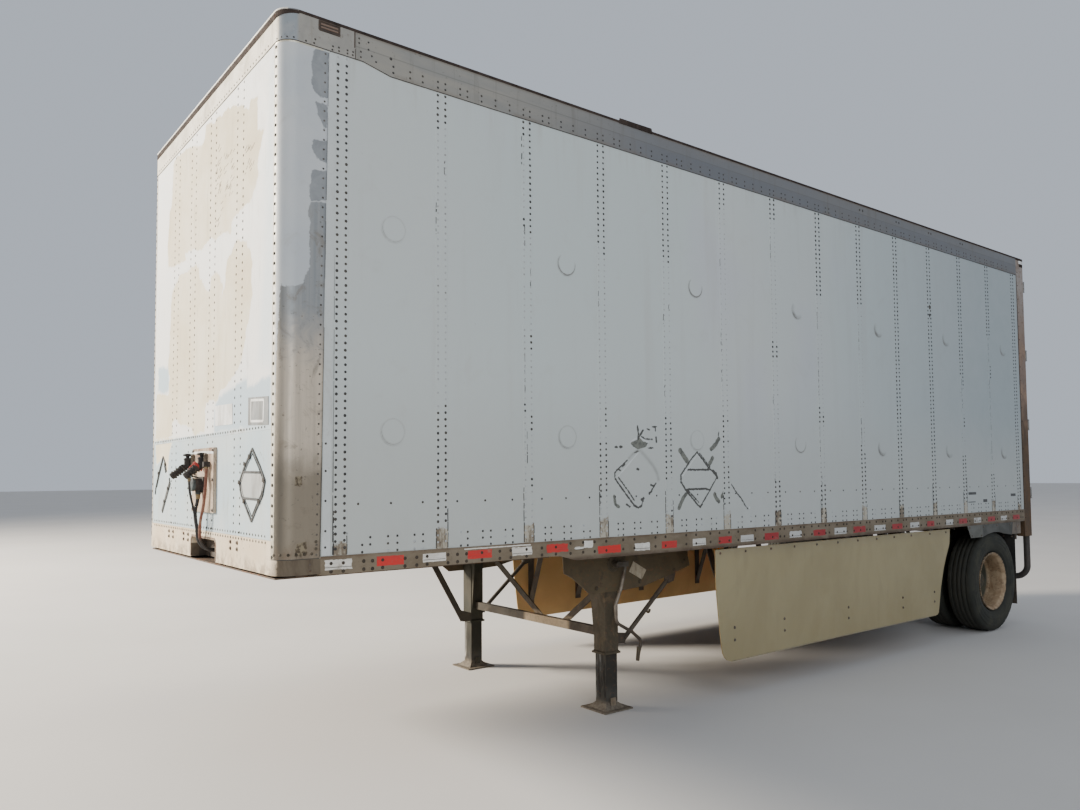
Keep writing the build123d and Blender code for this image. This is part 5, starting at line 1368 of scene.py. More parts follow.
under = worn("underside_steel", (0.085, 0.062, 0.046), (0.12, 0.085, 0.06), (0.045, 0.036, 0.028), (0.20, 0.10, 0.05), 0.55, scale=3.5, rough=0.72)
clothe(under, "floor_crossmembers", "suspension_frame", "leaf_springs", "axle_beam", "brake_chambers")
clothe(worn("coupler_plate", (0.12, 0.085, 0.06), (0.085, 0.062, 0.045), (0.03, 0.025, 0.02), (0.19, 0.095, 0.05), 0.5, scale=4, rough=0.6, metal=0.2),
       "upper_coupler")
clothe(worn("kingpin_steel", (0.24, 0.225, 0.21), (0.16, 0.145, 0.13), (0.05, 0.042, 0.035), (0.19, 0.10, 0.05), 0.66, scale=16, rough=0.4, metal=0.8), "kingpin")
clothe(worn("tank_black", (0.05, 0.048, 0.045), (0.09, 0.08, 0.07), (0.20, 0.17, 0.13), (0.17, 0.085, 0.045), 0.6, scale=5, rough=0.55), "air_tank")

# ---------------------------------------------------------------- landing gear
k = Mat("landing_steel", 0.68, 0.1, 0.35)
m1, m2 = k.noise(9, 7, 0.66, (1, 1, 0.6), 0.6), k.noise(38, 6, 0.7)
c = k.mix(k.band(m1, 0.34, 0.66), (0.090, 0.071, 0.044), (0.064, 0.051, 0.033))
c = k.mix(k.times(k.band(k.noise(4.5, 6, 0.65, None, 0.8), 0.52, 0.64), 0.7), c, (0.160, 0.110, 0.062))
c = k.mix(k.times(k.band(m2, 0.55, 0.68), 0.6), c, (0.15, 0.082, 0.042))
c = k.mix(k.times(k.band(k.noise(64, 5, 0.7), 0.60, 0.68), 0.5), c, (0.035, 0.028, 0.022))
dust = k.band(k.z, 0.32, 0.0)
c = k.mix(k.times(dust, k.band(m1, 0.25, 0.6, 0.35, 0.85)), c, (0.30, 0.235, 0.165))
# painted shade: parts on the right-hand side (y below 0.1 to -0.25 m) darkened
c = k.mix(k.band(k.y, 0.10, -0.25, 0.0, 0.82), c, (0.030, 0.031, 0.021))
k.colour(c)
k.rough(k.band(m1, 0.3, 0.7, 0.55, 0.8))
k.bump(k.op("ADD", k.times(m2, 0.4), m1), 0.45, 0.002)
landing = k.m
k = Mat("landing_wing", 0.68, 0.1, 0.35)
m1, m2 = k.noise(6, 7, 0.66, None, 0.8), k.noise(34, 6, 0.7)
c = k.mix(k.band(m1, 0.34, 0.66), (0.088, 0.066, 0.037), (0.126, 0.096, 0.054))
c = k.mix(k.times(k.band(m2, 0.54, 0.66), 0.6), c, (0.17, 0.085, 0.042))
c = k.mix(k.times(k.band(k.noise(12, 6, 0.7), 0.58, 0.68), 0.6), c, (0.06, 0.045, 0.034))
k.colour(c)
k.rough(k.band(m1, 0.3, 0.7, 0.58, 0.82))
k.bump(k.op("ADD", k.times(m2, 0.4), m1), 0.45, 0.002)
clothe(k.m, "landing_leg_brackets")
clothe(landing, "landing_leg_housings")
k = Mat("landing_feet", 0.75, 0.0, 0.2)
m1, m2 = k.noise(10, 7, 0.66, (1, 1, 0.5), 0.6), k.noise(40, 6, 0.7)
c = k.mix(k.band(m1, 0.34, 0.66), (0.052, 0.050, 0.044), (0.082, 0.073, 0.058))
side_on = k.band(k.op("ABSOLUTE", k.normal()[1]), 0.6, 0.9)
c = k.mix(k.times(side_on, k.band(k.z, 0.10, 0.20, 0.0, 0.8)), c, (0.030, 0.026, 0.021))
streaks = k.noise(5, 5, 0.6, (1, 3.4, 0.45))
front = k.times(k.band(k.normal()[0], 0.6, 0.9), k.band(k.z, 0.06, 0.10))
c = k.mix(k.times(k.times(front, k.band(streaks, 0.48, 0.57)), 0.85), c, (0.42, 0.40, 0.365))
c = k.mix(k.times(k.times(front, k.band(streaks, 0.45, 0.38)), 0.85), c, (0.022, 0.019, 0.016))
c = k.mix(k.times(k.band(m2, 0.56, 0.66), 0.5), c, (0.15, 0.08, 0.045))
plate = k.band(k.op("ADD", k.z, k.times(k.op("SUBTRACT", m1, 0.5), 0.06)), 0.075, 0.035)
c = k.mix(k.times(plate, 0.85), c, k.mix(k.band(m2, 0.4, 0.62), (0.21, 0.175, 0.13), (0.13, 0.105, 0.078)))
# painted shade on the right-hand leg above 0.08–0.16 m
c = k.mix(k.times(k.band(k.y, 0.10, -0.25, 0.0, 0.6), k.band(k.z, 0.08, 0.16)), c, (0.028, 0.028, 0.020))
k.colour(c)
k.rough(k.band(m1, 0.3, 0.7, 0.55, 0.82))
k.bump(k.op("ADD", k.times(m2, 0.4), m1), 0.45, 0.002)
clothe(k.m, "landing_leg_feet")
k = Mat("landing_braces", 0.68, 0.1, 0.35)
m1, m2 = k.noise(9, 7, 0.66, None, 0.6), k.noise(38, 6, 0.7)
c = k.mix(k.band(m1, 0.34, 0.66), (0.10, 0.078, 0.056), (0.07, 0.055, 0.042))
c = k.mix(k.times(k.band(m2, 0.54, 0.66), 0.6), c, (0.16, 0.088, 0.048))
# painted sunlight: a tan patch on the middle of the crossbar
bar = k.times(k.times(k.band(k.y, -0.11, -0.05), k.band(k.y, 0.50, 0.44)), k.band(k.z, 0.60, 0.57))
c = k.mix(k.times(bar, k.band(m2, 0.3, 0.55, 0.7, 1.0)), c, (0.56, 0.43, 0.28))
# painted shade on the right-hand part of the crossbar and braces
c = k.mix(k.band(k.y, -0.06, -0.16, 0.0, 0.5), c, (0.035, 0.036, 0.028))
k.colour(c)
k.rough(k.band(m1, 0.3, 0.7, 0.58, 0.82))
k.bump(k.op("ADD", k.times(m2, 0.4), m1), 0.45, 0.002)
clothe(k.m, "landing_leg_braces", "landing_cross_shaft")
k = Mat("crank_steel", 0.5, 0.3, 0.4)
m1, m2 = k.noise(14, 6, 0.66, None, 0.5), k.noise(60, 5, 0.7)
c = k.mix(k.band(k.z, 0.55, 0.72), (0.085, 0.065, 0.048), k.mix(k.band(m1, 0.4, 0.6), (0.26, 0.225, 0.18), (0.17, 0.13, 0.095)))
# painted shade: the top of the crank, above 0.9–1.0 m, darkened
c = k.mix(k.band(k.z, 0.90, 1.0, 0.0, 0.75), c, (0.040, 0.036, 0.028))
c = k.mix(k.times(k.band(m2, 0.55, 0.66), 0.6), c, (0.12, 0.07, 0.04))
k.colour(c)
k.rough(k.band(m1, 0.3, 0.7, 0.42, 0.65))
k.bump(m2, 0.3, 0.001)
clothe(k.m, "landing_crank_handle")

bag, tan = Bag(), Bag()
for side in (1, -1):
    y = side * 937
    slab(tan, [(X(2755), y, 1026), (X(2886), y, 955), (X(2839), y, 889), (X(2712), y, 954)], (0, side, 0), 4, 1.2)
    turned(bag, (X(2558), side * 926, 1019), (0, side, 0), [(56, 0), (56, 14), (50, 18), (30, 19), (28, 26), (22, 28)], 24)
    for d, z in ((2160, 1092), (2340, 1092), (3060, 1092), (3270, 1092), (2400, 860), (2820, 875), (3180, 930), (3290, 990)):
        bolt(bag, (X(d), y, z), (0, side, 0), 11, 8)
    # bolts of the leg flange and plates on the leg
    for dx in (-1, 1):
        for z in (1060, 1000, 940, 880):
            bolt(bag, (LEG_X + 61, side * (LEG_Y + dx * 40), z), (1, 0, 0), 9, 7)
            bolt(bag, (LEG_X - 61, side * (LEG_Y + dx * 40), z), (-1, 0, 0), 9, 7)
    strip(bag, (LEG_X + 60.5, side * LEG_Y, 850), (LEG_X + 60.5, side * LEG_Y, 1100), 104, 6, (1, 0, 0), 8, 2, 0.3)
    strip(bag, (LEG_X - 60.5, side * LEG_Y, 850), (LEG_X - 60.5, side * LEG_Y, 1100), 104, 6, (-1, 0, 0), 8, 2, 0.3)
    # weld beads round the top of the tube and along the flange
    for z in (404, 1118):
        pts = [(LEG_X + a * 62, side * (LEG_Y + b * 62), z) for a, b in ((-1, -1), (1, -1), (1, 1), (-1, 1))]
        line = []
        for p, q in zip(pts, pts[1:] + pts[:1]):
            for i in range(10):
                f = i / 10
                line.append((p[0] + (q[0] - p[0]) * f + dice.uniform(-1, 1), p[1] + (q[1] - p[1]) * f + dice.uniform(-1, 1), z + dice.uniform(-1, 1)))
        pipe(bag, line, 5, 6, True)
    # axle of the foot and its retainers
    pipe(bag, [(LEG_X, side * (LEG_Y - 78), 62), (LEG_X, side * (LEG_Y + 78), 62)], 13, 10)
    for dx in (-1, 1):
        strip(bag, (LEG_X, side * (LEG_Y + dx * 66), 18), (LEG_X, side * (LEG_Y + dx * 66), 84), 46, 7, (0, side * dx, 0), 3, 2)
    if side > 0:
        pts = [(X(2932) + 15 * math.cos(a), 907, 655 + 17 * math.sin(a)) for a in np.linspace(2.9, 6.6, 12)]
        pipe(bag, pts, 9, 8)
    # wedge plate on the inner edge of the leg's front face
    slab(bag, [(LEG_X + 46, side * 806, 448), (LEG_X + 46, side * 806, 1116), (LEG_X + 46, side * 764, 1116), (LEG_X + 46, side * 760, 862), (LEG_X + 46, side * 782, 640)],
         (1, 0, 0), 10, 2)
    # round boss on the front of the gearbox
    turned(bag, (LEG_X + 66, side * LEG_Y, 985), (1, 0, 0), [(30, 0), (30, 10), (24, 16), (10, 18)], 18)
piece("landing_fasteners", bag, landing)
piece("landing_tags", tan, worn("tag_tan", (0.42, 0.36, 0.26), (0.36, 0.30, 0.21), (0.17, 0.125, 0.085), None, scale=16, rough=0.6))
bag = Bag()
turned(bag, (X(2743) - 3, LEG_Y + 61 + 55, 330), (0.12, 0, -1), [(12.5, -92), (13.8, -88), (14, -20), (13.6, 0), (12, 8)], 16)
turned(bag, (X(2690), LEG_Y + 61 + 55, 535), (0.55, 0, -1), [(12.5, -10), (13.6, -8), (13.6, 8), (12.5, 10)], 14)
piece("crank_grip", bag, landing)

# ---------------------------------------------------------------- side skirts
k = Mat("skirt_panel", 0.55, 0, 0.35)
m1, m2 = k.noise(1.6, 6, 0.62, (1, 1, 0.6), 0.5), k.noise(40, 5, 0.68)
c = k.mix(k.band(m1, 0.35, 0.65), (0.36, 0.305, 0.175), (0.32, 0.27, 0.155))
c = k.mix(k.times(k.band(k.noise(7, 6, 0.65, (1, 1, 0.2)), 0.52, 0.72), 0.35), c, (0.25, 0.21, 0.12))
c = k.mix(k.times(k.band(k.z, 0.75, 0.27), k.band(m1, 0.2, 0.6, 0.2, 0.6)), c, (0.30, 0.245, 0.13))
c = k.mix(k.times(k.band(k.z, 1.0, 1.1), 0.3), c, (0.24, 0.20, 0.14))
c = k.mix(k.times(k.band(m2, 0.66, 0.72), 0.4), c, (0.19, 0.155, 0.11))
# inner face: its own orange colour, brightened as painted light for sun shining through the skirt
inside = k.band(k.op("ABSOLUTE", k.y), 1.2705, 1.2675)
c = k.mix(inside, c, k.mix(k.band(m1, 0.35, 0.65), (0.58, 0.385, 0.165), (0.46, 0.30, 0.128)))
k.b.inputs["Subsurface Weight"].default_value = 0.38
k.b.inputs["Subsurface Radius"].default_value = (1.0, 0.68, 0.36)
k.b.inputs["Subsurface Scale"].default_value = 0.011
k.colour(c)
k.rough(k.band(m1, 0.3, 0.7, 0.45, 0.66))
k.bump(k.op("ADD", k.times(m2, 0.03), k.noise(1.1, 2, 0.5)), 0.4, 0.012)
clothe(k.m, "left_side_skirt", "right_side_skirt")
clothe(worn("strut_dark", (0.065, 0.055, 0.045), (0.10, 0.08, 0.06), (0.03, 0.025, 0.02), (0.16, 0.08, 0.04), 0.58, scale=8, rough=0.6), "skirt_struts")
bag, trim = Bag(), Bag()
for side in (1, -1):
    y = side * 1272
    for d in (3465, 4067, 4954, 5830, 6462 - 60):
        for z in (514, 423):
            bolt(bag, (X(d), y, z), (0, side, 0), 8, 5)
    for d in (3304 + 14, 3607, 3916, 4217, 4520, 4820, 5121, 5420, 5710, 6008, 6349, 6656):
        bolt(bag, (X(d), y, 1070), (0, side, 0), 7, 5)
    low_edge = [(3434, 269), (4928, 283), (6398, 288)]
    for (a, za), (b, zb) in zip(low_edge, low_edge[1:]):
        strip(trim, (X(a), y, za + 4), (X(b), y, zb + 4), 8, 1.2, (0, side, 0), 12, 0.6, 0.2)
piece("skirt_bolts", bag, bolt_steel)
piece("skirt_seams", trim, worn("skirt_trim", (0.31, 0.265, 0.165), (0.26, 0.22, 0.14), (0.15, 0.12, 0.075), None, scale=8, rough=0.6))

# ---------------------------------------------------------------- suspension details
bag = Bag()
for s in (1, -1):
    y = s * 500
    for dx in (-62, 62):
        for dy in (-46, 46):
            pipe(bag, [(AXLE_X + dx, y + dy, 440), (AXLE_X + dx, y + dy, 775)], 11, 8)
            turned(bag, (AXLE_X + dx, y + dy, 428), (0, 0, 1), [(19, 0), (19, 20)], 6)
        pipe(bag, [(AXLE_X + dx, y - 46, 775)] + arc((AXLE_X + dx, y, 775), 46, 180, 0, 8, "yz")[1:-1] + [(AXLE_X + dx, y + 46, 775)], 11, 8)
    slab(bag, [(AXLE_X - 88, y - 62, 446), (AXLE_X + 88, y - 62, 446), (AXLE_X + 88, y + 62, 446), (AXLE_X - 88, y + 62, 446)], (0, 0, 1), 16, 3)
    slab(bag, [(AXLE_X - 84, y - 44, 737), (AXLE_X + 84, y - 44, 737), (AXLE_X + 84, y + 44, 737), (AXLE_X - 84, y + 44, 737)], (0, 0, 1), 20, 3)
    for dx in (-540, 540):
        for z in (1000, 800):
            bolt(bag, (AXLE_X + dx, y + s * 50, z), (0, s, 0), 17, 14)
    # radius rod along the inside
    pipe(bag, [(AXLE_X + 520, y - s * 66, 800), (AXLE_X + 20, y - s * 66, 560)], 17, 10)
    for q in ((AXLE_X + 520, 800), (AXLE_X + 20, 560)):
        turned(bag, (q[0], y - s * 92, q[1]), (0, s, 0), [(34, 0), (36, 6), (36, 44), (34, 50)], 18)
    # leaf ends and centre bolt lines
    for z in (690, 706, 722):
        strip(bag, (AXLE_X - 200, y + s * 37, z + 6), (AXLE_X + 200, y + s * 37, z + 6), 3, 1.2, (0, s, 0), 6, 0.5)
    # brake chamber clamp band, slack adjuster and camshaft
    turned(bag, (AXLE_X - 262, s * 330, 610), (1, 0, 0), [(84, -10), (87, -8), (87, 8), (84, 10)], 28)
    turned(bag, (AXLE_X - 352, s * 330, 610), (1, 0, 0), [(30, 0), (74, 12), (81, 24)], 24)
    strip(bag, (AXLE_X - 62, s * 372, 612), (AXLE_X - 92, s * 372, 470), 40, 14, (0, s, 0), 4, 4)
    pipe(bag, [(AXLE_X - 92, s * 372, 480), (AXLE_X - 92, s * 650, 480)], 17, 10)
piece("suspension_details", bag, under)

# air lines clipped under the floor
bag = Bag()
for s, r in ((1, 7), (-1, 6)):
    run = [(X(94 + 40), 40 * s, 1212), (X(300), 60 * s, 1206), (X(1800), 70 * s, 1206), (X(2200), 80 * s, 1106), (X(4200), 84 * s, 1104),
           (X(6300), 90 * s, 1104), (X(6420), 100 * s, 1090)]
    run[2:3] = [(X(600), 64 * s, 1207), (X(1200), 66 * s, 1207)]
    pipe(bag, [q for q in run if q[0] < X(1900) or False] or run[-4:], r, 8)
    pipe(bag, [(X(6620), 60 * s, 1000), (X(6900), 80 * s, 980), (X(7200), 200 * s, 900), (X(7500), 300 * s, 760), (X(7820), 330 * s, 700), (X(7870), 330 * s, 690)], 8, 8)
piece("air_lines", bag, rubber.m, smooth=True)

# ---------------------------------------------------------------- wheels
k = Mat("tyre_rubber", 0.78, 0, 0.3)
m1, m2 = k.noise(6, 6, 0.66, None, 0.5), k.noise(48, 5, 0.7)
rad = k.op("SQRT", k.op("ADD", k.op("POWER", k.op("ADD", k.x, -AXLE_X / 1000), 2.0), k.op("POWER", k.op("ADD", k.z, -AXLE_Z / 1000), 2.0)))
c = k.mix(k.band(m1, 0.35, 0.65), (0.022, 0.023, 0.018), (0.034, 0.034, 0.027))
side_dust = k.times(k.times(k.band(rad, 0.30, 0.40), k.band(rad, 0.495, 0.46)), k.band(m1, 0.38, 0.66))
c = k.mix(k.times(side_dust, 0.5), c, (0.072, 0.068, 0.048))
c = k.mix(k.times(k.band(rad, 0.507, 0.514), k.band(m1, 0.3, 0.6, 0.1, 0.4)), c, (0.044, 0.041, 0.032))
c = k.mix(k.times(k.band(m2, 0.60, 0.72), 0.35), c, (0.10, 0.09, 0.065))
k.colour(c)
k.rough(k.band(m1, 0.3, 0.7, 0.68, 0.88))
ribs = k.op("PINGPONG", k.times(rad, 1.0), 0.009)
k.bump(k.op("ADD", k.times(m2, 0.4), k.times(k.times(k.band(rad, 0.47, 0.455), k.band(rad, 0.33, 0.345)), k.times(ribs, 22.0))), 0.35, 0.0012)
tyre_mat = k.m
SIDEWALL = [(91, 292.5), (96, 298), (101, 304), (106, 309), (112, 315), (119, 324), (124.5, 333), (125.5, 336), (124.8, 339), (129, 352), (133, 366), (135, 384),
            (135.8, 396), (134.6, 399), (134.6, 404), (135.8, 407), (135, 420), (133, 436), (130.6, 452), (131.6, 455), (131.2, 461), (128.6, 463),
            (125.5, 476), (123.6, 486), (119.5, 493), (117.5, 500), (112, 506), (104, 510), (92, 512.6), (85, 513.4)]
GROOVES = [(78, 513.7), (74, 505), (66, 505), (62, 514.4), (40, 515.0), (30, 515.3), (26, 506), (18, 506), (14, 515.7), (0, 516.0)]
half_profile = SIDEWALL + GROOVES
tyre_profile = half_profile + [(-y, r) for y, r in reversed(half_profile[:-1])]


def tyre_bag(centre):
    bag, n = Bag(), 150
    lug = {len(SIDEWALL) - k: 1 for k in (1, 2, 3, 4, 5)}
    verts = []
    total = len(tyre_profile)
    for j, (y, r) in enumerate(tyre_profile):
        m = min(j, total - 1 - j)
        for i in range(n):
            a = 2 * math.pi * i / n
            rr = r
            if m in lug and i % 5 == (0 if j < total / 2 else 2):
                rr -= 5.0
            if r > 512 and m > len(SIDEWALL) and i % 3 == 0:
                rr -= 0.9
            verts.append((AXLE_X + rr * math.cos(a), centre + y, AXLE_Z + rr * math.sin(a)))
    faces = [(j * n + i, j * n + (i + 1) % n, (j + 1) * n + (i + 1) % n, (j + 1) * n + i) for j in range(total - 1) for i in range(n)]
    bag.add(verts, faces)
    return bag


for side, label in ((1, "left"), (-1, "right")):
    for where, c0 in (("outer", 1150), ("inner", 820)):
        o = piece(f"{label}_{where}_tread_tyre", tyre_bag(side * c0), tyre_mat, body=label + "_wheels", smooth=True)
        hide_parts(f"{label}_{where}_tyre")

k = Mat("rim_steel", 0.62, 0.15, 0.35)
m1, m2 = k.noise(8, 7, 0.68, None, 0.8), k.noise(36, 6, 0.7)
rad = k.op("SQRT", k.op("ADD", k.op("POWER", k.op("ADD", k.x, -AXLE_X / 1000), 2.0), k.op("POWER", k.op("ADD", k.z, -AXLE_Z / 1000), 2.0)))
disc = k.mix(k.band(m1, 0.38, 0.6), (0.036, 0.037, 0.023), (0.068, 0.063, 0.038))
barrel = k.mix(k.band(m1, 0.38, 0.6), (0.46, 0.34, 0.215), (0.32, 0.215, 0.125))
c = k.mix(k.band(rad, 0.245, 0.262), disc, barrel)
c = k.mix(k.times(k.band(m1, 0.58, 0.68), 0.6), c, (0.19, 0.10, 0.05))
c = k.mix(k.times(k.band(m2, 0.55, 0.66), 0.6), c, (0.07, 0.05, 0.035))
c = k.mix(k.times(k.band(rad, 0.285, 0.29), k.band(m2, 0.35, 0.6)), c, (0.10, 0.075, 0.05))
k.colour(c)
k.rough(k.band(m1, 0.3, 0.7, 0.5, 0.78))
k.bump(k.op("ADD", k.times(m2, 0.4), m1), 0.4, 0.0015)
rim_mat = k.m
clothe(rim_mat, "left_rims", "right_rims")
hub_mat = worn("hub_steel", (0.075, 0.068, 0.046), (0.055, 0.05, 0.034), (0.03, 0.026, 0.02), (0.19, 0.10, 0.05), 0.56, scale=9, rough=0.65, metal=0.2)
clothe(hub_mat, "left_hub", "right_hub")
for side, label in ((1, "left"), (-1, "right")):
    bag = Bag()
    for i in range(10):
        a = 2 * math.pi * i / 10 + 0.15
        p = (AXLE_X + 138 * math.cos(a), side * 995.5, AXLE_Z + 138 * math.sin(a))
        turned(bag, p, (0, side, 0), [(19, 0), (19, 4), (16.5, 5), (16.5, 22), (13, 26)], 6, phase=a)
        turned(bag, (p[0], side * 1020, p[2]), (0, side, 0), [(10, 0), (10, 16), (8, 19)], 10)
    for i in range(6):
        a = 2 * math.pi * i / 6
        bolt(bag, (AXLE_X + 97 * math.cos(a), side * 1052, AXLE_Z + 97 * math.sin(a)), (0, side, 0), 7, 6)
    turned(bag, (AXLE_X, side * 1139, AXLE_Z), (0, side, 0), [(52, 0), (52, 3), (44, 6), (40, 3), (16, 3), (13, 7)], 26)
    turned(bag, (AXLE_X, side * 1046, AXLE_Z), (0, side, 0), [(104, 0), (106, 4), (106, 12), (101, 16)], 30)
    a = 0.9
    pipe(bag, [(AXLE_X + 240 * math.cos(a), side * 1075, AXLE_Z + 240 * math.sin(a)), (AXLE_X + 236 * math.cos(a), side * 1100, AXLE_Z + 236 * math.sin(a)),
               (AXLE_X + 238 * math.cos(a), side * 1150, AXLE_Z + 238 * math.sin(a))], 5, 8)
    piece(label + "_wheel_nuts", bag, hub_mat, body=label + "_wheels")
    bag = Bag()
    for y0, r0 in ((1268, 298), (1032, 298)):
        for c0 in (0,):
            turned(bag, (AXLE_X, side * (y0 - (4 if y0 > 1100 else -4)), AXLE_Z), (0, side, 0), [(290, -3), (297, -1), (298.5, 1), (297, 3.4), (290, 4)], 60, cap=False)
    piece(label + "_rim_edges", bag, rim_mat, body=label + "_wheels", smooth=True)


# ---------------------------------------------------------------- rear frame, doors and lights
k = Mat("rear_frame_paint", 0.65, 0.1, 0.35)
m1, m2 = k.noise(7, 7, 0.68, (1, 1, 0.5), 0.7), k.noise(36, 6, 0.7)
zz = k.op("ADD", k.z, k.times(k.op("SUBTRACT", m1, 0.5), 1.2))
low = k.mix(k.band(m1, 0.38, 0.62), (0.076, 0.047, 0.026), (0.126, 0.077, 0.041))
mid = k.mix(k.band(m1, 0.38, 0.62), (0.23, 0.165, 0.13), (0.31, 0.21, 0.15))
top = k.mix(k.band(m1, 0.38, 0.62), (0.33, 0.29, 0.26), (0.27, 0.215, 0.18))
c = k.mix(k.band(zz, 1.9, 2.7), low, mid)
c = k.mix(k.band(zz, 3.0, 3.6), c, top)
c = k.mix(k.times(k.band(m2, 0.54, 0.66), 0.6), c, (0.15, 0.075, 0.038))
c = k.mix(k.times(k.band(k.noise(14, 6, 0.7, (1, 1, 0.3)), 0.57, 0.68), 0.5), c, (0.07, 0.05, 0.038))
k.colour(c)
k.rough(k.band(m1, 0.3, 0.7, 0.55, 0.8))
k.bump(k.op("ADD", k.times(m2, 0.5), m1), 0.4, 0.002)
rear_mat = k.m
clothe(rear_mat, "rear_posts", "rear_sill")
clothe(worn("rear_header_paint", (0.40, 0.37, 0.34), (0.33, 0.30, 0.27), (0.20, 0.16, 0.13), (0.19, 0.10, 0.05), 0.58, scale=5, rough=0.6, metal=0.1), "rear_header")

k = Mat("door_panel", 0.5, 0, 0.35)
m1, m2 = k.noise(1.1, 4, 0.55), k.noise(44, 5, 0.7)
c = k.mix(k.band(m1, 0.35, 0.65), (0.56, 0.57, 0.565), (0.52, 0.525, 0.515))
c = k.mix(k.times(k.band(k.noise(10, 6, 0.65, (1, 1, 0.08)), 0.5, 0.72), 0.4), c, (0.38, 0.345, 0.29))
c = k.mix(k.times(k.band(k.z, 1.9, 1.25), k.band(k.noise(5, 6, 0.65), 0.38, 0.66)), c, (0.36, 0.31, 0.25))
c = k.mix(k.times(k.band(m2, 0.66, 0.72), 0.5), c, (0.20, 0.15, 0.11))
inner = k.band(k.x, -4.2475, -4.2462)
grain = k.noise(3.0, 6, 0.65, (1, 0.35, 9))
c = k.mix(inner, c, k.mix(k.band(grain, 0.35, 0.65), (0.42, 0.30, 0.19), (0.30, 0.20, 0.12)))
k.colour(c)
k.rough(k.band(m1, 0.3, 0.7, 0.42, 0.62))
k.bump(k.op("ADD", k.times(m2, 0.05), k.noise(1.6, 3, 0.5)), 0.35, 0.008)
door_mat = k.m
clothe(door_mat, "left_rear_door", "right_rear_door")
galv = worn("door_hardware_steel", (0.30, 0.295, 0.28), (0.23, 0.22, 0.205), (0.12, 0.105, 0.09), (0.20, 0.11, 0.055), 0.60, scale=8, rough=0.5, metal=0.5)
clothe(galv, "left_door_hardware", "right_door_hardware", "door_hinge_brackets", "door_keepers")

seal = worn("door_seal", (0.022, 0.022, 0.022), (0.04, 0.038, 0.036), (0.10, 0.09, 0.075), None, scale=10, rough=0.75)
for side, label in ((1, "left"), (-1, "right")):
    body = label + "_door"
    ys = (4, 1209.5)
    bag = Bag()
    xs = X_REAR - 0.2
    z0, z1 = 1253, 3912
    ring = [(xs, side * (ys[0] + 9), z0 + 9), (xs, side * (ys[1] - 9), z0 + 9), (xs, side * (ys[1] - 9), z1 - 9), (xs, side * (ys[0] + 9), z1 - 9)]
    for a, b in zip(ring, ring[1:] + ring[:1]):
        strip(bag, a, b, 17, 4.5, (-1, 0, 0), 24, 2, 0.4)
    piece(label + "_door_seal", bag, seal, body=body)
    bag = Bag()
    for y in (45, 1168):
        z = z0 + 55
        while z < z1 - 40:
            dome(bag, (X_REAR + 0.2, side * y, z), (-1, 0, 0), 5.4, 2.2)
            z += 75
    y = 90
    while y < 1140:
        for z in (z0 + 45, z1 - 45):
            dome(bag, (X_REAR + 0.2, side * y, z), (-1, 0, 0), 5.4, 2.2)
        y += 75
    # bolts on the hinge straps and rod guides, grip of the handle, hold-back chain hook
    for z in (1420, 2180, 2960, 3740):
        for y in (1100, 1135, 1170):
            bolt(bag, (X_REAR - 14, side * y, z), (-1, 0, 0), 8, 6)
        turned(bag, (X_REAR - 32, side * 1285, z + 59), (0, 0, 1), [(11, 0), (11, 3), (8, 6)], 12)
    for y in (300, 960):
        for z in (1300, 1900, 2600, 3300, 3860):
            for e in (-15, 15):
                bolt(bag, (X_REAR - 50, side * (y + e), z), (-1, 0, 0), 5, 4)
    pipe(bag, [(X_REAR - 52, side * 470, 2000), (X_REAR - 62, side * 500, 2001), (X_REAR - 63, side * 600, 2001), (X_REAR - 56, side * 648, 2000)], 12, 10)
    pipe(bag, arc((X_REAR - 8, side * 1050, 1330), 20, 90, 330, 10, "yz"), 4, 8)
    strip(bag, (X_REAR, side * 585, 1940), (X_REAR, side * 650, 1940), 30, 5, (-1, 0, 0), 3, 2)
    piece(label + "_door_fasteners", bag, galv, body=body)

# blank plate holder, lamps and reflectors
lamp_red = worn("lamp_red", (0.34, 0.018, 0.016), (0.26, 0.022, 0.02), (0.10, 0.04, 0.03), None, scale=20, rough=0.25, spec=0.6)
black_rub = worn("lamp_rubber", (0.022, 0.022, 0.022), (0.035, 0.034, 0.032), (0.09, 0.08, 0.065), None, scale=20, rough=0.7)
lens_bag, ring_bag = Bag(), Bag()
for side in (1, -1):
    for y in (1120, 980):
        p = (X_REAR, side * y, 1060)
        turned(ring_bag, p, (-1, 0, 0), [(64, 0), (66, 4), (64, 10), (56, 12), (54, 8)], 30)
        turned(lens_bag, (X_REAR - 6, side * y, 1060), (-1, 0, 0), [(54, 0), (53, 4), (40, 8), (38, 7.2), (24, 10), (22, 9), (8, 11)], 28)
for y in (-150, 0, 150, -1120, 1120):
    z = 4020
    strip(ring_bag, (X_REAR, y - 46, z), (X_REAR, y + 46, z), 34, 4, (-1, 0, 0), 4, 2)
    strip(lens_bag, (X_REAR - 3, y - 40, z), (X_REAR - 3, y + 40, z), 26, 8, (-1, 0, 0), 8, 4, 0.3)
piece("rear_lamp_lenses", lens_bag, lamp_red)
piece("rear_lamp_rings", ring_bag, black_rub)
bag = Bag()
slab(bag, [(X_REAR, -700, 1010), (X_REAR, -380, 1010), (X_REAR, -380, 1175), (X_REAR, -700, 1175)], (-1, 0, 0), 3, 1)
slab(bag, [(X_REAR, 380, 1080), (X_REAR, 620, 1080), (X_REAR, 620, 1180), (X_REAR, 380, 1180)], (-1, 0, 0), 2, 0.8)
piece("rear_blank_plates", bag, label_grey)
whites, reds = Bag(), Bag()


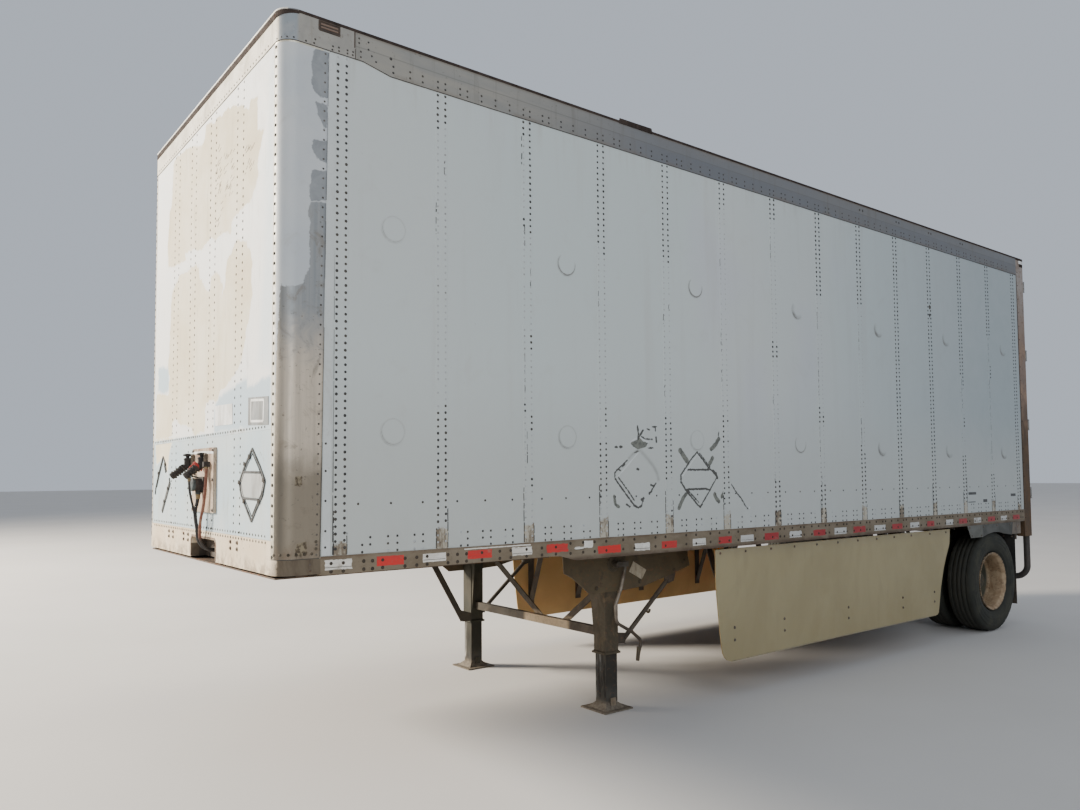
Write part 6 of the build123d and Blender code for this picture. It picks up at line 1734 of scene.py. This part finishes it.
def rear_tape(bag, y0, y1, z0, z1, x):
    n = 10
    verts, faces = [], []
    for j in range(4):
        for i in range(n + 1):
            verts.append((x - 0.7 - dice.uniform(0, 0.3), y0 + (y1 - y0) * i / n + (dice.uniform(-2, 2) if i in (0, n) else 0),
                          z0 + (z1 - z0) * j / 3 + (dice.uniform(-1.2, 1.2) if j in (0, 3) else 0)))
    for j in range(3):
        for i in range(n):
            faces.append((j * 11 + i, (j + 1) * 11 + i, (j + 1) * 11 + i + 1, j * 11 + i + 1))
    b = len(verts)
    verts += [(x + 0.2, y0, z0), (x + 0.2, y1, z0), (x + 0.2, y1, z1), (x + 0.2, y0, z1)]
    faces.append((b, b + 1, b + 2, b + 3))
    bag.add(verts, faces)


y, n = -1200, 0
while y < 1180:
    rear_tape(reds if n % 2 else whites, y, min(y + 152, 1205), 957, 1003, X_REAR)
    y += 178
    n += 1
for side in (1, -1):
    rear_tape(whites, side * 1228, side * 1282, 3750, 4030, X_REAR) if side > 0 else rear_tape(whites, -1282, -1228, 3750, 4030, X_REAR)
    rear_tape(whites, 1030 if side > 0 else -1205, 1205 if side > 0 else -1030, 3934, 3982, X_REAR)
piece("rear_tape_white", whites, tape_white)
piece("rear_tape_red", reds, tape_red)

# corner cap on the rear post and its pale piece, edge of the post against the side sheet
bag, pale_bag = Bag(), Bag()
for side in (1, -1):
    y = side * HALF
    slab(bag, [(X(8368), y, 4028), (X(8534), y, 4028), (X(8534), y, 4053), (X(8368), y, 4053)], (0, side, 0), 4, 1.5)
    slab(pale_bag, [(X(8440), y, 3992), (X(8528), y, 3992), (X(8528), y, 4028), (X(8440), y, 4028)], (0, side, 0), 3, 1.2)
    slab(bag, [(X(8448), y, 3960), (X(8530), y, 3960), (X(8530), y, 3991), (X(8448), y, 3991)], (0, side, 0), 4, 1.5)
    strip(bag, (X(8368), y, 1250), (X(8368), y, 3850), 7, 1.8, (0, side, 0), 60, 0.9, 0.4)
    for z in (3974, 4040):
        bolt(bag, (X(8480), side * (HALF + 3), z), (0, side, 0), 7, 5)
    z = 1000
    while z < 3940:
        dome(bag, (X(8392), y, z), (0, side, 0), 7, 2.6)
        z += 152
piece("rear_corner_caps", bag, dark_edge)
piece("rear_corner_inserts", pale_bag, label_white)

clothe(worn("guard_black", (0.042, 0.038, 0.034), (0.065, 0.055, 0.046), (0.10, 0.075, 0.055), (0.18, 0.09, 0.045), 0.60, scale=9, rough=0.6), "rear_impact_guard")
k = Mat("flap_rubber", 0.8, 0, 0.25)
m1, m2 = k.noise(7, 6, 0.66), k.noise(50, 5, 0.7)
c = k.mix(k.band(m1, 0.35, 0.65), (0.026, 0.025, 0.024), (0.042, 0.038, 0.034))
c = k.mix(k.times(k.band(k.z, 0.75, 0.22), k.band(m1, 0.3, 0.6, 0.3, 0.8)), c, (0.13, 0.10, 0.072))
k.colour(c)
k.rough(k.band(m2, 0.3, 0.7, 0.7, 0.9))
k.bump(k.op("ADD", m2, k.noise(3, 3)), 0.4, 0.003)
clothe(k.m, "mud_flaps")
clothe(worn("hanger_grey", (0.15, 0.125, 0.10), (0.20, 0.165, 0.13), (0.07, 0.055, 0.042), (0.18, 0.09, 0.045), 0.58, scale=9, rough=0.6, metal=0.1), "flap_hangers")
k = Mat("shield_plastic", 0.6, 0, 0.35)
m1, m2 = k.noise(5, 6, 0.66, None, 0.4), k.noise(50, 5, 0.7)
c = k.mix(k.band(k.x, 4.245 - 7.40, 4.245 - 7.36), k.mix(k.band(m1, 0.35, 0.65), (0.095, 0.095, 0.085), (0.070, 0.070, 0.062)),
          k.mix(k.band(m1, 0.35, 0.65), (0.15, 0.15, 0.135), (0.115, 0.115, 0.10)))
c = k.mix(k.times(k.band(m2, 0.58, 0.7), 0.4), c, (0.14, 0.115, 0.085))
k.colour(c)
k.rough(k.band(m1, 0.3, 0.7, 0.5, 0.7))
k.bump(m1, 0.3, 0.003)
clothe(k.m, "splash_shields")
bag = Bag()
for side in (1, -1):
    for d, z in ((7100, 1095), (7400, 1095), (7700, 1095), (8000, 1095), (7150, 1010), (7350, 1005)):
        bolt(bag, (X(d), side * 1294.5, z), (0, side, 0), 7, 4)
    for y in (700, 850, 1000, 1150, 1240):
        bolt(bag, (X(8175) + 10, side * y, 955), (1, 0, 0), 8, 6)
        bolt(bag, (X(8175) - 12, side * y, 955), (-1, 0, 0), 8, 6)
    for y in (450,):
        for z in (980, 1100):
            bolt(bag, (X_REAR + 20, side * (y - 18), z - 90), (-1, 0, 0), 9, 7)
            bolt(bag, (X_REAR + 20, side * (y + 18), z - 90), (-1, 0, 0), 9, 7)
piece("rear_fasteners", bag, bolt_steel)

# ---------------------------------------------------------------- ground and light
me = bpy.data.meshes.new("floor")
me.from_pydata([(-140, -140, 0), (140, -140, 0), (140, 140, 0), (-140, 140, 0)], [], [(0, 1, 2, 3)])
k = Mat("studio_floor", 0.85, 0, 0.2)
k.colour(k.mix(k.band(k.noise(0.4, 3), 0.3, 0.7), (0.60, 0.575, 0.54), (0.63, 0.605, 0.57)))
me.materials.append(k.m)
ground = bpy.data.objects.new("floor", me)
scene.collection.objects.link(ground)

world = bpy.data.worlds.new("studio")
world.use_nodes = True
world.node_tree.nodes["Background"].inputs[0].default_value = (0.80, 0.875, 1.0, 1)
world.node_tree.nodes["Background"].inputs[1].default_value = 0.62
scene.world = world


def area(name, at, toward, size, power, colour):
    d = bpy.data.lights.new(name, "AREA")
    d.shape = "DISK"
    d.size = size
    d.energy = power
    d.color = colour
    o = bpy.data.objects.new(name, d)
    o.location = at
    o.rotation_euler = (Vector(toward) - Vector(at)).to_track_quat("-Z", "Y").to_euler()
    scene.collection.objects.link(o)


area("key", (19, -17, 11.5), (0.5, 0, 2), 7.0, 19500, (1.0, 0.915, 0.79))
area("fill", (9, 18, 9), (0, 1, 2), 12.0, 1100, (0.92, 0.96, 1.0))
